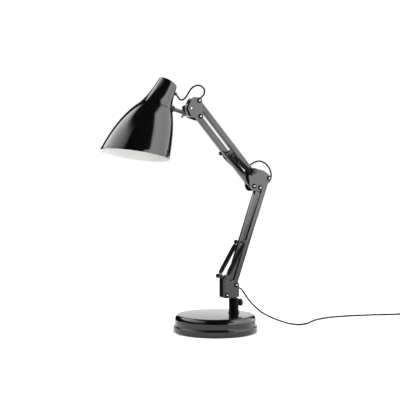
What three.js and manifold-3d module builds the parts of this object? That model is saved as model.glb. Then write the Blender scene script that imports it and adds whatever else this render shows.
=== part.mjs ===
// Swing arm desk lamp: weighted round base, two spring-balanced parallelogram arms and a
// slanted bell shade.
//
// Units are millimetres, +Z is up and the origin is the middle of the base's underside. The
// arms move in the XZ plane, the shade is on the -X side, and the post stands on the +X side
// of the base. "near" pieces are on the -Y side and "far" pieces on the +Y side.

import * as THREE from 'three';
import { mergeVertices } from 'three/addons/utils/BufferGeometryUtils.js';
import Module from 'manifold-3d';

const wasm = await Module();
wasm.setup();

// ---------------------------------------------------------------------------------------
// Driving sizes
// ---------------------------------------------------------------------------------------

const GAP = 0.3; // clearance between pieces that touch
const FIT = 0.4; // clearance around a pin that turns in a hole

// Base and post
const BASE_RADIUS = 78;
const BASE_HEIGHT = 32;
const BASE_STEP = 2.7; // how far the upper tier stands in from the flange
const FLANGE_HEIGHT = 12;
const ROLL_RADIUS = 6.5; // rounded top edge, measured inwards
const ROLL_HEIGHT = 9.5; // and downwards
const COVER_WALL = 1.2;
const PAD_HEIGHT = 2.5;
const WEIGHT_RADIUS = 71;
const WEIGHT_HEIGHT = 15;
const POST_X = 39.5;
const POST_RADIUS = 9.25;
const POST_TOP = 59.3;
const STEM_RADIUS = 6;
const CLAMP_Z = 51;

// Arms: a parallelogram each, given by one pivot, the offset to its partner and the rod
const ROD_WIDTH = 9;
const UPPER_ROD_WIDTH = 10; // as seen from the side; both arms are as deep
const ROD_WALL = 1;
const LOWER_LENGTH = 214;
const LOWER_LEAN = 19.7; // degrees from upright, towards +X
const LOWER_OFFSET = new THREE.Vector2(20, 18.3);
const UPPER_LENGTH = 170;
const UPPER_LEAN = -42.4; // degrees from upright, towards -X
const UPPER_OFFSET = new THREE.Vector2(-2.3, 28.5);
const PLATE_OUTER = 9.8; // half of a bracket's width over its plates
const PLATE_THICKNESS = 1.5;
const BOLT_RADIUS = 2;

// Pivots as (x, z). The first one is where the lower arm starts.
const BRACKET_LEFT = new THREE.Vector2(19.5, 66.7);
const BRACKET_RIGHT = BRACKET_LEFT.clone().add(LOWER_OFFSET);
const ELBOW_LEFT = leaning(BRACKET_LEFT, LOWER_LEAN, LOWER_LENGTH);
const ELBOW_RIGHT = ELBOW_LEFT.clone().add(LOWER_OFFSET);
const ELBOW_UPPER_ARM = ELBOW_LEFT.clone().add(new THREE.Vector2(-13, 2.7));
const ELBOW_KNOB = ELBOW_UPPER_ARM.clone().add(UPPER_OFFSET);
const HEAD_LOWER = leaning(ELBOW_UPPER_ARM, UPPER_LEAN, UPPER_LENGTH);
const HEAD_UPPER = HEAD_LOWER.clone().add(UPPER_OFFSET);
const TILT = HEAD_LOWER.clone().add(new THREE.Vector2(-19.7, 12.9));

// Springs
const SPRING_RADIUS = 4.7;
const SPRING_Y = 15; // sideways place of a spring's middle
const SPRING_PIN_REACH = 20; // half the length of the pins that carry springs
const SPRING_PIN_RADIUS = 1.6;
const SPRING_CAP_RADIUS = 4.2; // end caps of the pins
const SPRING_CAP_LENGTH = 3.4;
const STUD_CAP_RADIUS = 2.3; // smaller, beside the elbow knob
const LOWER_SPRING_PIN = leaning(BRACKET_LEFT, LOWER_LEAN, 104);
const LOWER_SPRING_ANCHOR = new THREE.Vector2(15.2, 101);
const UPPER_SPRING_PIN = leaning(ELBOW_UPPER_ARM, UPPER_LEAN, 84);
const UPPER_SPRING_ANCHOR = ELBOW_KNOB.clone().add(new THREE.Vector2(-6.6, -5.6));

// Shade: round sections that follow a leaning centre line and turn as they go down
const CAP_CENTRE = new THREE.Vector2(-97.1, 452.8);
const SEAM_CENTRE = new THREE.Vector2(-119.8, 408.1);
const BELL_BOW = new THREE.Vector2(-138.2, 379.6);
const RIM_CENTRE = new THREE.Vector2(-160, 322.5);
const CAP_TILT = 29;
const SEAM_TILT = 17;
const RIM_TILT = 8.3;
const CAP_RADIUS = 17.9;
const SEAM_RADIUS = 31;
const RIM_RADIUS = 61.5;
const DOME_HEIGHT = 4;
const NECK_SPREAD = 6.6; // how much the neck widens at an even rate
const NECK_FLARE = 3.4; // how late the rest of its width comes
const BELL_SPREAD = 41; // how fast the bell widens below the seam
const SHADE_WALL = 1;
const HOLDER_AXIS = SEAM_CENTRE.clone().sub(CAP_CENTRE).normalize();

// Cords
const CORD_RADIUS = 1.6;
const LOOP_RADIUS = 1.5;
const CORD_SIDES = 8;
const COIL_MEAN_RADIUS = 19.2;
const COIL_HALF_WIDTH = 5.6;
const COIL_HEIGHT = 13.4;
const COIL_LIFT = 1.2; // the coil lies on its tie
const TIE_WIDTH = 6;
const TIE_THICKNESS = 0.8;

// ---------------------------------------------------------------------------------------
// Materials
// ---------------------------------------------------------------------------------------

const finish = (color, roughness, metalness) =>
  new THREE.MeshStandardMaterial({ color, roughness, metalness, side: THREE.DoubleSide });

const glossBlack = finish(0x0d0d0e, 0.18, 0.0);
const shadeEnamel = finish(0x101011, 0.2, 0.0);
const satinBlack = finish(0x1b1c1c, 0.42, 0.1);
const castIron = finish(0x3a3a3c, 0.7, 0.6);
const blackRubber = finish(0x161616, 0.85, 0.0);
const blackPlastic = finish(0x131313, 0.5, 0.0);
const brightSteel = finish(0xc9cacb, 0.25, 1.0);
const springSteel = finish(0x6d6e70, 0.35, 1.0);
const porcelain = finish(0xe8e6e0, 0.35, 0.0);
const bulbGlass = finish(0xf4f3ee, 0.3, 0.0);
const cordSheath = finish(0x141414, 0.55, 0.0);
const brass = finish(0xb79a56, 0.3, 1.0);

// ---------------------------------------------------------------------------------------
// Helpers
// ---------------------------------------------------------------------------------------

const lamp = new THREE.Group();
lamp.name = 'swing_arm_desk_lamp';

function leaning(from, degrees, length) {
  const lean = THREE.MathUtils.degToRad(degrees);
  return new THREE.Vector2(from.x + length * Math.sin(lean), from.y + length * Math.cos(lean));
}

function add(name, geometry, material) {
  const mesh = new THREE.Mesh(geometry, material);
  mesh.name = name;
  lamp.add(mesh);
  return mesh;
}

// A geometry as a solid that can be cut and joined
function solid(geometry) {
  const bare = new THREE.BufferGeometry();
  bare.setAttribute('position', geometry.getAttribute('position').clone());
  if (geometry.index) {
    bare.setIndex(geometry.index.clone());
  }
  const welded = mergeVertices(bare, 1e-4);
  return new wasm.Manifold(
    new wasm.Mesh({
      numProp: 3,
      vertProperties: new Float32Array(welded.getAttribute('position').array),
      triVerts: new Uint32Array(welded.index.array),
    }),
  );
}

function fromSolid(body) {
  const mesh = body.getMesh();
  const geometry = new THREE.BufferGeometry();
  geometry.setAttribute('position', new THREE.BufferAttribute(mesh.vertProperties, 3));
  geometry.setIndex(new THREE.BufferAttribute(mesh.triVerts, 1));
  geometry.computeVertexNormals();
  return geometry;
}

function cut(geometry, ...tools) {
  const body = tools.reduce((rest, tool) => rest.subtract(solid(tool)), solid(geometry));
  return fromSolid(body);
}

function join(...geometries) {
  const [first, ...others] = geometries.map(solid);
  return fromSolid(others.reduce((all, other) => all.add(other), first));
}

function block(x0, x1, y0, y1, z0, z1) {
  const box = new THREE.BoxGeometry(x1 - x0, y1 - y0, z1 - z0);
  return box.translate((x0 + x1) / 2, (y0 + y1) / 2, (z0 + z1) / 2);
}

// Turned about an upright axis through (x, y). The profile is [radius, z] from low to high.
function turnedUpright(profile, x, y, sides = 24) {
  const points = profile.map(([radius, z]) => new THREE.Vector2(radius, z));
  return new THREE.LatheGeometry(points, sides).rotateX(Math.PI / 2).translate(x, y, 0);
}

// Turned about a sideways axis through the pivot. The profile is [radius, y].
function turnedSideways(profile, pivot, sides = 20) {
  const points = profile.map(([radius, y]) => new THREE.Vector2(radius, y));
  return new THREE.LatheGeometry(points, sides).translate(pivot.x, 0, pivot.y);
}

// Turned about any axis. The profile is [radius, distance along the direction].
function turnedAlong(profile, origin, direction, sides = 24) {
  const points = profile.map(([radius, along]) => new THREE.Vector2(radius, along));
  const turn = new THREE.Quaternion().setFromUnitVectors(
    new THREE.Vector3(0, 1, 0),
    direction.clone().normalize(),
  );
  return new THREE.LatheGeometry(points, sides).applyQuaternion(turn)
    .translate(origin.x, origin.y, origin.z);
}

function pinHole(pivot, radius, reach) {
  return turnedSideways([[0, -reach], [radius, -reach], [radius, reach], [0, reach]], pivot, 12);
}

// A shape drawn in the XZ plane, made solid from y0 to y1
function slab(shape, y0, y1, curveSegments = 6) {
  const depth = y1 - y0;
  const geometry = new THREE.ExtrudeGeometry(shape, { depth, bevelEnabled: false, curveSegments });
  return geometry.rotateX(Math.PI / 2).translate(0, y1, 0);
}

// The outline that a taut band takes around discs given as {at, radius}, in turning order
function bandAround(discs, arcPoints = 5) {
  const shape = [];
  const sideOf = (from, to) => {
    const across = to.at.clone().sub(from.at);
    const swing = Math.acos((from.radius - to.radius) / across.length());
    return across.angle() - swing;
  };
  discs.forEach((disc, i) => {
    const before = discs[(i + discs.length - 1) % discs.length];
    const after = discs[(i + 1) % discs.length];
    const start = sideOf(before, disc);
    let end = sideOf(disc, after);
    while (end < start) {
      end += 2 * Math.PI;
    }
    for (let k = 0; k <= arcPoints; k += 1) {
      const angle = start + ((end - start) * k) / arcPoints;
      shape.push(new THREE.Vector2(
        disc.at.x + disc.radius * Math.cos(angle),
        disc.at.y + disc.radius * Math.sin(angle),
      ));
    }
  });
  return new THREE.Shape(shape);
}

// A round tube of solid material along points, with flat ends
function strand(points, radius, steps, sides = CORD_SIDES) {
  const section = new THREE.Shape();
  for (let k = 0; k < sides; k += 1) {
    const angle = (2 * Math.PI * k) / sides;
    const x = radius * Math.cos(angle);
    const y = radius * Math.sin(angle);
    if (k === 0) {
      section.moveTo(x, y);
    } else {
      section.lineTo(x, y);
    }
  }
  const path = new THREE.CatmullRomCurve3(points, false, 'centripetal');
  return new THREE.ExtrudeGeometry(section, { steps, bevelEnabled: false, extrudePath: path });
}

const inPlane = (point, y = 0) => new THREE.Vector3(point.x, y, point.y);

// ---------------------------------------------------------------------------------------
// Base and post
// ---------------------------------------------------------------------------------------

function roundedEdge(centreRadius, centreZ, radius, from, to, steps, height = radius) {
  const points = [];
  for (let k = 0; k <= steps; k += 1) {
    const angle = THREE.MathUtils.degToRad(from + ((to - from) * k) / steps);
    points.push([centreRadius + radius * Math.cos(angle), centreZ + height * Math.sin(angle)]);
  }
  return points;
}

function baseCover() {
  const foot = PAD_HEIGHT - 1.5;
  const tier = BASE_RADIUS - BASE_STEP;
  const flat = tier - ROLL_RADIUS;
  const outside = [
    [BASE_RADIUS, foot],
    ...roundedEdge(BASE_RADIUS - 1.5, FLANGE_HEIGHT - 1.5, 1.5, 0, 90, 2),
    [tier, FLANGE_HEIGHT + 0.6],
    ...roundedEdge(flat, BASE_HEIGHT - ROLL_HEIGHT, ROLL_RADIUS, 0, 90, 5, ROLL_HEIGHT),
  ];
  const inside = [
    [0, BASE_HEIGHT - COVER_WALL],
    ...roundedEdge(
      flat, BASE_HEIGHT - ROLL_HEIGHT, ROLL_RADIUS - COVER_WALL, 90, 0, 3, ROLL_HEIGHT - COVER_WALL),
    [tier - COVER_WALL, FLANGE_HEIGHT - COVER_WALL],
    [BASE_RADIUS - COVER_WALL, FLANGE_HEIGHT - COVER_WALL],
    [BASE_RADIUS - COVER_WALL, foot],
  ];
  const shell = turnedUpright([...outside, [0, BASE_HEIGHT], ...inside, outside[0]], 0, 0, 44);
  const neckHole = turnedUpright(
    [[0, 20], [STEM_RADIUS + FIT, 20], [STEM_RADIUS + FIT, 40], [0, 40]], POST_X, 0);
  return cut(shell, neckHole);
}

function buildBase() {
  add('base_cover', baseCover(), glossBlack);

  const pad = turnedUpright(
    [[0, 0], [BASE_RADIUS - 3, 0], [BASE_RADIUS - 2, 1], [BASE_RADIUS - 2, PAD_HEIGHT], [0, PAD_HEIGHT]],
    0, 0, 44);
  add('base_pad', pad, blackRubber);

  const weightTop = PAD_HEIGHT + GAP + WEIGHT_HEIGHT;
  const disc = turnedUpright(
    [[0, PAD_HEIGHT + GAP], [WEIGHT_RADIUS - 1, PAD_HEIGHT + GAP], [WEIGHT_RADIUS, PAD_HEIGHT + 1.3],
      [WEIGHT_RADIUS, weightTop - 2], [WEIGHT_RADIUS - 2, weightTop], [0, weightTop]],
    0, 0, 36);
  const nutPocket = turnedUpright([[0, 0], [11, 0], [11, 9], [0, 9]], POST_X, 0);
  const screwWay = turnedUpright([[0, 0], [STEM_RADIUS, 0], [STEM_RADIUS, 40], [0, 40]], POST_X, 0);
  add('base_weight', cut(disc, nutPocket, screwWay), castIron);
}

function buildPost() {
  const bore = STEM_RADIUS + FIT;
  const seat = BASE_HEIGHT + GAP;
  const spigot = STEM_RADIUS - GAP;
  const tube = turnedUpright(
    [[0, PAD_HEIGHT + 1], [spigot, PAD_HEIGHT + 1], [spigot, seat], [POST_RADIUS + 1.2, seat],
      [POST_RADIUS + 1.2, seat + 1.2], [POST_RADIUS, seat + 2.2], [POST_RADIUS, POST_TOP - 0.8],
      [POST_RADIUS - 0.8, POST_TOP], [bore, POST_TOP], [bore, seat + 4], [0, seat + 4]],
    POST_X, 0);
  const clampHole = turnedAlong(
    [[0, 0], [BOLT_RADIUS + FIT, 0], [BOLT_RADIUS + FIT, 14], [0, 14]],
    new THREE.Vector3(POST_X, 0, CLAMP_Z), new THREE.Vector3(1, 0, 0), 16);
  add('post_tube', cut(tube, clampHole), satinBlack);

  const nut = new THREE.CylinderGeometry(9.5, 9.5, 4.5, 6).rotateX(Math.PI / 2)
    .translate(POST_X, 0, PAD_HEIGHT + 3.6);
  const nutBore = turnedUpright(
    [[0, 0], [STEM_RADIUS, 0], [STEM_RADIUS, 14], [0, 14]], POST_X, 0);
  add('post_nut', cut(nut, nutBore), brightSteel);

  const start = STEM_RADIUS + GAP;
  const head = POST_RADIUS + 2.2;
  const screw = turnedAlong(
    [[0, start], [BOLT_RADIUS, start], [BOLT_RADIUS, head], [6, head], [7, head + 1],
      [7, head + 4.6], [5.6, head + 6], [0, head + 6.4]],
    new THREE.Vector3(POST_X, 0, CLAMP_Z), new THREE.Vector3(1, 0, 0), 20);
  add('thumb_screw', screw, blackPlastic);
}

// ---------------------------------------------------------------------------------------
// Swivel bracket
// ---------------------------------------------------------------------------------------

const BRACKET_X0 = 12.3;
const BRACKET_X1 = 47.2;
const BRACKET_FOLD = 3.5; // outside radius of the folds
const BRACKET_WEB_TOP = 97;
const CORD_EXIT_Z = 78.6;

function roundedRectangle(x0, x1, y0, y1, radius) {
  const shape = new THREE.Shape();
  shape.moveTo(x0 + radius, y0);
  shape.lineTo(x1 - radius, y0);
  shape.absarc(x1 - radius, y0 + radius, radius, -Math.PI / 2, 0);
  shape.lineTo(x1, y1 - radius);
  shape.absarc(x1 - radius, y1 - radius, radius, 0, Math.PI / 2);
  shape.lineTo(x0 + radius, y1);
  shape.absarc(x0 + radius, y1 - radius, radius, Math.PI / 2, Math.PI);
  shape.lineTo(x0, y0 + radius);
  shape.absarc(x0 + radius, y0 + radius, radius, Math.PI, 1.5 * Math.PI);
  return shape;
}

// Folded sheet: a box section cut to the bracket's side outline
function lowerBracket() {
  const section = roundedRectangle(
    BRACKET_X0, BRACKET_X1, -PLATE_OUTER, PLATE_OUTER, BRACKET_FOLD);
  const inner = roundedRectangle(
    BRACKET_X0 + PLATE_THICKNESS, BRACKET_X1 - PLATE_THICKNESS,
    -PLATE_OUTER + PLATE_THICKNESS, PLATE_OUTER - PLATE_THICKNESS,
    BRACKET_FOLD - PLATE_THICKNESS);
  section.holes.push(inner);
  const tube = new THREE.ExtrudeGeometry(section, { depth: 60, bevelEnabled: false, curveSegments: 3 })
    .translate(0, 0, 55);

  const ear = 4.6;
  const outline = bandAround([
    { at: LOWER_SPRING_ANCHOR.clone().add(new THREE.Vector2(1, 0)), radius: ear },
    { at: new THREE.Vector2(BRACKET_X0 + 4, 65), radius: 4 },
    { at: new THREE.Vector2(BRACKET_X1 - 1, 63.5), radius: 1 },
    { at: new THREE.Vector2(BRACKET_X1 - 1, 83), radius: 1 },
    { at: BRACKET_RIGHT, radius: 6 },
    { at: new THREE.Vector2(27, 94), radius: 2 },
  ]);
  const body = solid(tube).intersect(solid(slab(outline, -20, 20)));

  const clear = PLATE_OUTER - PLATE_THICKNESS;
  const cordHole = turnedAlong(
    [[0, 0], [3, 0], [3, 12], [0, 12]],
    new THREE.Vector3(BRACKET_X1 - 6, 0, CORD_EXIT_Z), new THREE.Vector3(1, 0, 0), 16);
  return fromSolid([
    block(0, 60, -clear, clear, BRACKET_WEB_TOP, 120),
    pinHole(BRACKET_LEFT, BOLT_RADIUS + GAP, 20),
    pinHole(BRACKET_RIGHT, BOLT_RADIUS + GAP, 20),
    pinHole(LOWER_SPRING_ANCHOR, SPRING_PIN_RADIUS + GAP, 20),
    cordHole,
  ].reduce((rest, tool) => rest.subtract(solid(tool)), body));
}

function buildSwivel() {
  add('lower_bracket', lowerBracket(), satinBlack);

  const stemTop = 74;
  const inside = PLATE_OUTER - PLATE_THICKNESS - GAP;
  const stem = turnedUpright(
    [[0, BASE_HEIGHT + 6], [STEM_RADIUS - 1, BASE_HEIGHT + 6], [STEM_RADIUS, BASE_HEIGHT + 7],
      [STEM_RADIUS, 64], [0, 64]], POST_X, 0);
  const head = block(POST_X - 7, BRACKET_X1 - PLATE_THICKNESS - GAP, -inside + 1.4, inside - 1.4, 62.5, stemTop);
  add('bracket_stem', join(stem, head), castIron);

  const grommet = turnedAlong(
    [[CORD_RADIUS + GAP, 0], [3.6, 0], [3.6, 1.2], [2.7, 1.2], [2.7, 3.6], [4, 3.6], [3.4, 6.2],
      [CORD_RADIUS + GAP, 6.2], [CORD_RADIUS + GAP, 0]],
    new THREE.Vector3(BRACKET_X1 - 3, 0, CORD_EXIT_Z), new THREE.Vector3(1, 0, 0), 14);
  add('cord_grommet', grommet, blackRubber);
}

// ---------------------------------------------------------------------------------------
// Pivots, rods and springs
// ---------------------------------------------------------------------------------------

// A domed rivet right through two plates at +-reach
function rivet(pivot, reach = PLATE_OUTER) {
  const head = 3;
  const face = reach + GAP;
  return turnedSideways(
    [[0, -face - 1.9], [1.6, -face - 1.6], [head, -face - 0.5], [head, -face], [BOLT_RADIUS, -face],
      [BOLT_RADIUS, face], [head, face], [head, face + 0.5], [1.6, face + 1.6], [0, face + 1.9]],
    pivot, 10);
}

// A square tube with round ends, open inside from end to end
function rod(start, end, width, extraHoles = []) {
  const half = width / 2;
  const halfDepth = ROD_WIDTH / 2;
  const along = end.clone().sub(start);
  const length = along.length();
  const outline = bandAround([
    { at: new THREE.Vector2(0, 0), radius: half },
    { at: new THREE.Vector2(length, 0), radius: half },
  ]);
  const bore = half - ROD_WALL;
  const boreDepth = halfDepth - ROD_WALL;
  const tools = [
    block(-2 * width, length + 2 * width, -boreDepth, boreDepth, -bore, bore),
    pinHole(new THREE.Vector2(0, 0), BOLT_RADIUS + FIT, half + 1),
    pinHole(new THREE.Vector2(length, 0), BOLT_RADIUS + FIT, half + 1),
    ...extraHoles.map((at) => pinHole(new THREE.Vector2(at, 0), SPRING_PIN_RADIUS + GAP, half + 1)),
  ];
  const tube = cut(slab(outline, -halfDepth, halfDepth), ...tools);
  return tube.rotateY(-along.angle()).translate(start.x, 0, start.y);
}

// A pin with a round cap at each end that keeps the springs' hooks on
function springPin(pivot) {
  const reach = SPRING_PIN_REACH;
  const cap = reach - SPRING_CAP_LENGTH;
  const side = [[SPRING_PIN_RADIUS, cap], [SPRING_CAP_RADIUS, cap],
    [SPRING_CAP_RADIUS, reach - 0.8], [SPRING_CAP_RADIUS - 0.8, reach]];
  const mirrored = side.map(([radius, y]) => [radius, -y]).reverse();
  return turnedSideways([[0, -reach], ...mirrored, ...side, [0, reach]], pivot, 10);
}

function springStud(pivot, side) {
  const foot = side * (PLATE_OUTER + GAP);
  const tip = side * SPRING_PIN_REACH;
  const profile = [
    [0, foot], [2.6, foot], [2.6, foot + side * 0.8], [SPRING_PIN_RADIUS, foot + side * 0.8],
    [SPRING_PIN_RADIUS, tip - side * 3], [STUD_CAP_RADIUS, tip - side * 3],
    [STUD_CAP_RADIUS, tip - side * 0.6], [STUD_CAP_RADIUS - 0.6, tip], [0, tip],
  ];
  return turnedSideways(side > 0 ? profile : profile.reverse(), pivot, 10);
}

// The room that a coiled spring takes: a rod with a narrow hook stem at each end
function springSolid(from, to, y) {
  const start = inPlane(from, y);
  const along = inPlane(to, y).sub(start);
  const length = along.length();
  const clear = SPRING_PIN_RADIUS + GAP;
  const profile = [
    [0, clear], [0.9, clear], [0.9, 6.5], [SPRING_RADIUS, 7.5], [SPRING_RADIUS, length - 7.5],
    [0.9, length - 6.5], [0.9, length - clear], [0, length - clear],
  ];
  return turnedAlong(profile, start, along, 10);
}

function buildArms() {
  add('lower_rod_left', rod(BRACKET_LEFT, ELBOW_LEFT, ROD_WIDTH, [104]), satinBlack);
  add('lower_rod_right', rod(BRACKET_RIGHT, ELBOW_RIGHT, ROD_WIDTH), satinBlack);
  add('upper_rod_lower', rod(ELBOW_UPPER_ARM, HEAD_LOWER, UPPER_ROD_WIDTH, [84]), satinBlack);
  add('upper_rod_upper', rod(ELBOW_KNOB, HEAD_UPPER, UPPER_ROD_WIDTH), satinBlack);

  add('lower_spring_anchor_pin', springPin(LOWER_SPRING_ANCHOR), brightSteel);
  add('lower_spring_rod_pin', springPin(LOWER_SPRING_PIN), brightSteel);
  add('upper_spring_rod_pin', springPin(UPPER_SPRING_PIN), brightSteel);

  [['near', -1], ['far', 1]].forEach(([name, side]) => {
    add(`upper_spring_stud_${name}`, springStud(UPPER_SPRING_ANCHOR, side), brightSteel);
    add(`lower_spring_${name}`,
      springSolid(LOWER_SPRING_ANCHOR, LOWER_SPRING_PIN, side * SPRING_Y), springSteel);
    add(`upper_spring_${name}`,
      springSolid(UPPER_SPRING_ANCHOR, UPPER_SPRING_PIN, side * SPRING_Y), springSteel);
  });

  const pivots = {
    bracket_left: BRACKET_LEFT,
    bracket_right: BRACKET_RIGHT,
    elbow_left: ELBOW_LEFT,
    elbow_right: ELBOW_RIGHT,
    elbow_upper_arm: ELBOW_UPPER_ARM,
    head_lower: HEAD_LOWER,
    head_upper: HEAD_UPPER,
  };
  Object.entries(pivots).forEach(([name, pivot]) => {
    add(`rivet_${name}`, rivet(pivot), brightSteel);
  });
}

// ---------------------------------------------------------------------------------------
// Elbow and head plates
// ---------------------------------------------------------------------------------------

function platePair(prefix, discs, holes, material) {
  [['near', -1], ['far', 1]].forEach(([name, side]) => {
    const inner = side * (PLATE_OUTER - PLATE_THICKNESS);
    const outer = side * PLATE_OUTER;
    const plate = slab(bandAround(discs), Math.min(inner, outer), Math.max(inner, outer));
    const tools = holes.map((hole) => pinHole(hole, BOLT_RADIUS + GAP, 20));
    add(`${prefix}_plate_${name}`, cut(plate, ...tools), material);
  });
}

function buildElbow() {
  const discs = [
    { at: ELBOW_RIGHT, radius: 5.8 },
    { at: ELBOW_RIGHT.clone().add(new THREE.Vector2(-14, 9)), radius: 5.6 },
    { at: ELBOW_KNOB, radius: 6 },
    { at: UPPER_SPRING_ANCHOR, radius: 4.2 },
    { at: ELBOW_UPPER_ARM, radius: 8.8 },
    { at: ELBOW_LEFT, radius: 5.6 },
  ];
  const holes = [ELBOW_RIGHT, ELBOW_KNOB, ELBOW_UPPER_ARM, ELBOW_LEFT];
  platePair('elbow', discs, holes, satinBlack);

  const face = PLATE_OUTER + GAP;
  const bolt = turnedSideways(
    [[0, -face - 5], [BOLT_RADIUS, -face - 5], [BOLT_RADIUS, face], [3.6, face], [3.6, face + 2.6],
      [2.8, face + 3.2], [0, face + 3.2]],
    ELBOW_KNOB, 16);
  add('elbow_knob_bolt', bolt, brightSteel);

  const bore = BOLT_RADIUS + GAP;
  const knob = turnedSideways(
    [[0, -face - 8.6], [4.4, -face - 8.6], [5.8, -face - 7.4], [5.8, -face - 1], [5, -face],
      [bore, -face], [bore, -face - 5.4], [0, -face - 5.4]],
    ELBOW_KNOB, 20);
  add('elbow_knob', knob, blackPlastic);
}

function buildHead() {
  const discs = [
    { at: HEAD_UPPER, radius: 5.6 },
    { at: HEAD_UPPER.clone().add(new THREE.Vector2(-11.2, 3)), radius: 2.6 },
    { at: TILT, radius: 5.4 },
    { at: HEAD_LOWER.clone().add(new THREE.Vector2(-17, 0.7)), radius: 2.6 },
    { at: HEAD_LOWER, radius: 6 },
  ];
  platePair('head', discs, [HEAD_UPPER, HEAD_LOWER, TILT], satinBlack);

  const face = PLATE_OUTER + GAP;
  const boltEnd = face + 10;
  const bolt = turnedSideways(
    [[0, -face - 2.6], [2.2, -face - 2.6], [3.2, -face - 1.6], [3.2, -face - 1], [6, -face - 1],
      [6, -face], [BOLT_RADIUS, -face], [BOLT_RADIUS, boltEnd], [0, boltEnd]],
    TILT, 20);
  add('tilt_bolt', bolt, brightSteel);

  const bore = BOLT_RADIUS + GAP;
  const hub = turnedSideways(
    [[bore, face], [5, face], [4.2, face + 7], [bore, face + 7], [bore, face]], TILT, 20);
  const wing = new THREE.Shape();
  wing.moveTo(3.2, 1);
  wing.lineTo(6, 1.4);
  wing.absarc(12, 7, 3.6, 1.5 * Math.PI, 2.75 * Math.PI);
  wing.lineTo(3.2, 6);
  const wingAt = (turn) => new THREE.ExtrudeGeometry(wing, {
    depth: 2.2, bevelEnabled: false, curveSegments: 5,
  }).translate(0, 0, -1.1).rotateY(turn).translate(TILT.x, face, TILT.y);
  add('tilt_wing_nut', join(hub, wingAt(-1.2), wingAt(Math.PI - 1.2)), satinBlack);
}

// ---------------------------------------------------------------------------------------
// Shade, lampholder and bulb
// ---------------------------------------------------------------------------------------

// One round section of the shade
function section(centre, tilt, radius, segments) {
  const lean = THREE.MathUtils.degToRad(tilt);
  const points = [];
  for (let k = 0; k < segments; k += 1) {
    const angle = (2 * Math.PI * k) / segments;
    const across = radius * Math.cos(angle);
    points.push(new THREE.Vector3(
      centre.x + across * Math.cos(lean),
      radius * Math.sin(angle),
      centre.y - across * Math.sin(lean),
    ));
  }
  return points;
}

// A skin through rings of points. The first and last rings join up, or close on a point each.
function skin(rings, poles = null) {
  const segments = rings[0].length;
  const points = rings.flat();
  const faces = [];
  const last = poles ? rings.length - 1 : rings.length;
  for (let r = 0; r < last; r += 1) {
    const a = r * segments;
    const b = ((r + 1) % rings.length) * segments;
    for (let k = 0; k < segments; k += 1) {
      const next = (k + 1) % segments;
      faces.push(a + k, b + k, b + next, a + k, b + next, a + next);
    }
  }
  if (poles) {
    const [top, end] = poles;
    const topIndex = points.push(top) - 1;
    const endIndex = points.push(end) - 1;
    const lastRing = (rings.length - 1) * segments;
    for (let k = 0; k < segments; k += 1) {
      const next = (k + 1) % segments;
      faces.push(topIndex, k, next);
      faces.push(endIndex, lastRing + next, lastRing + k);
    }
  }
  const geometry = new THREE.BufferGeometry().setFromPoints(points);
  geometry.setIndex(faces);
  geometry.computeVertexNormals();
  return geometry;
}

const neckRadius = (v) =>
  CAP_RADIUS + NECK_SPREAD * v + (SEAM_RADIUS - CAP_RADIUS - NECK_SPREAD) * v ** NECK_FLARE;
const neckCentre = (v) => CAP_CENTRE.clone().lerp(SEAM_CENTRE, v);
const neckTilt = (v) => THREE.MathUtils.lerp(CAP_TILT, SEAM_TILT, v);
const bellRadius = (u) =>
  SEAM_RADIUS + BELL_SPREAD * u + (RIM_RADIUS - SEAM_RADIUS - BELL_SPREAD) * u ** 2;
const bellTilt = (u) => THREE.MathUtils.lerp(SEAM_TILT, RIM_TILT, u);
const bellLine = new THREE.QuadraticBezierCurve(SEAM_CENTRE, BELL_BOW, RIM_CENTRE);

function capPoint(height) {
  const lean = THREE.MathUtils.degToRad(CAP_TILT);
  return new THREE.Vector2(
    CAP_CENTRE.x + height * Math.sin(lean), CAP_CENTRE.y + height * Math.cos(lean));
}

function shadeNeck() {
  const segments = 28;
  const steps = 6;
  const domeSteps = 3;
  const rings = [];
  for (let k = 1; k <= domeSteps; k += 1) {
    const angle = (Math.PI / 2) * (1 - k / domeSteps);
    const height = DOME_HEIGHT * Math.sin(angle);
    rings.push(section(capPoint(height), CAP_TILT, CAP_RADIUS * Math.cos(angle), segments));
  }
  for (let k = 1; k <= steps; k += 1) {
    const v = k / steps;
    rings.push(section(neckCentre(v), neckTilt(v), neckRadius(v), segments));
  }
  for (let k = steps; k >= 1; k -= 1) {
    const v = k / steps;
    rings.push(section(neckCentre(v), neckTilt(v), neckRadius(v) - SHADE_WALL, segments));
  }
  rings.push(section(capPoint(-SHADE_WALL), CAP_TILT, CAP_RADIUS - SHADE_WALL - 0.4, segments));
  const top = inPlane(capPoint(DOME_HEIGHT));
  const under = inPlane(capPoint(DOME_HEIGHT / 3 - SHADE_WALL));
  return skin(rings, [top, under]);
}

function shadeBell() {
  const segments = 36;
  const steps = [0, 0.03, 0.09, 0.18, 0.3, 0.46, 0.64, 0.82, 1];
  const start = 0.01; // starts just below the neck's edge
  const at = (u, inset) => {
    const v = start + u * (1 - start);
    return section(bellLine.getPoint(v), bellTilt(v), bellRadius(u) - inset, segments);
  };
  const collar = (v, inset) =>
    section(neckCentre(v), neckTilt(v), neckRadius(v) - SHADE_WALL - 0.5 - inset, segments);
  const outside = [collar(0.88, 0), collar(0.97, 0), at(0, 2), ...steps.map((u) => at(u, 0))];
  const inside = [...steps.slice(2).reverse().map((u) => at(u, SHADE_WALL)),
    at(0.02, 2.6), collar(0.88, SHADE_WALL)];
  return skin([...outside, ...inside]);
}

const LINK_SIDE = new THREE.Vector2(-88.5, 407.6); // where the link meets the shade
const GLAND_V = 0.165; // place of the cable gland down the neck
const GLAND_DROOP = 15; // degrees that the gland points below square to the wall

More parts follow.
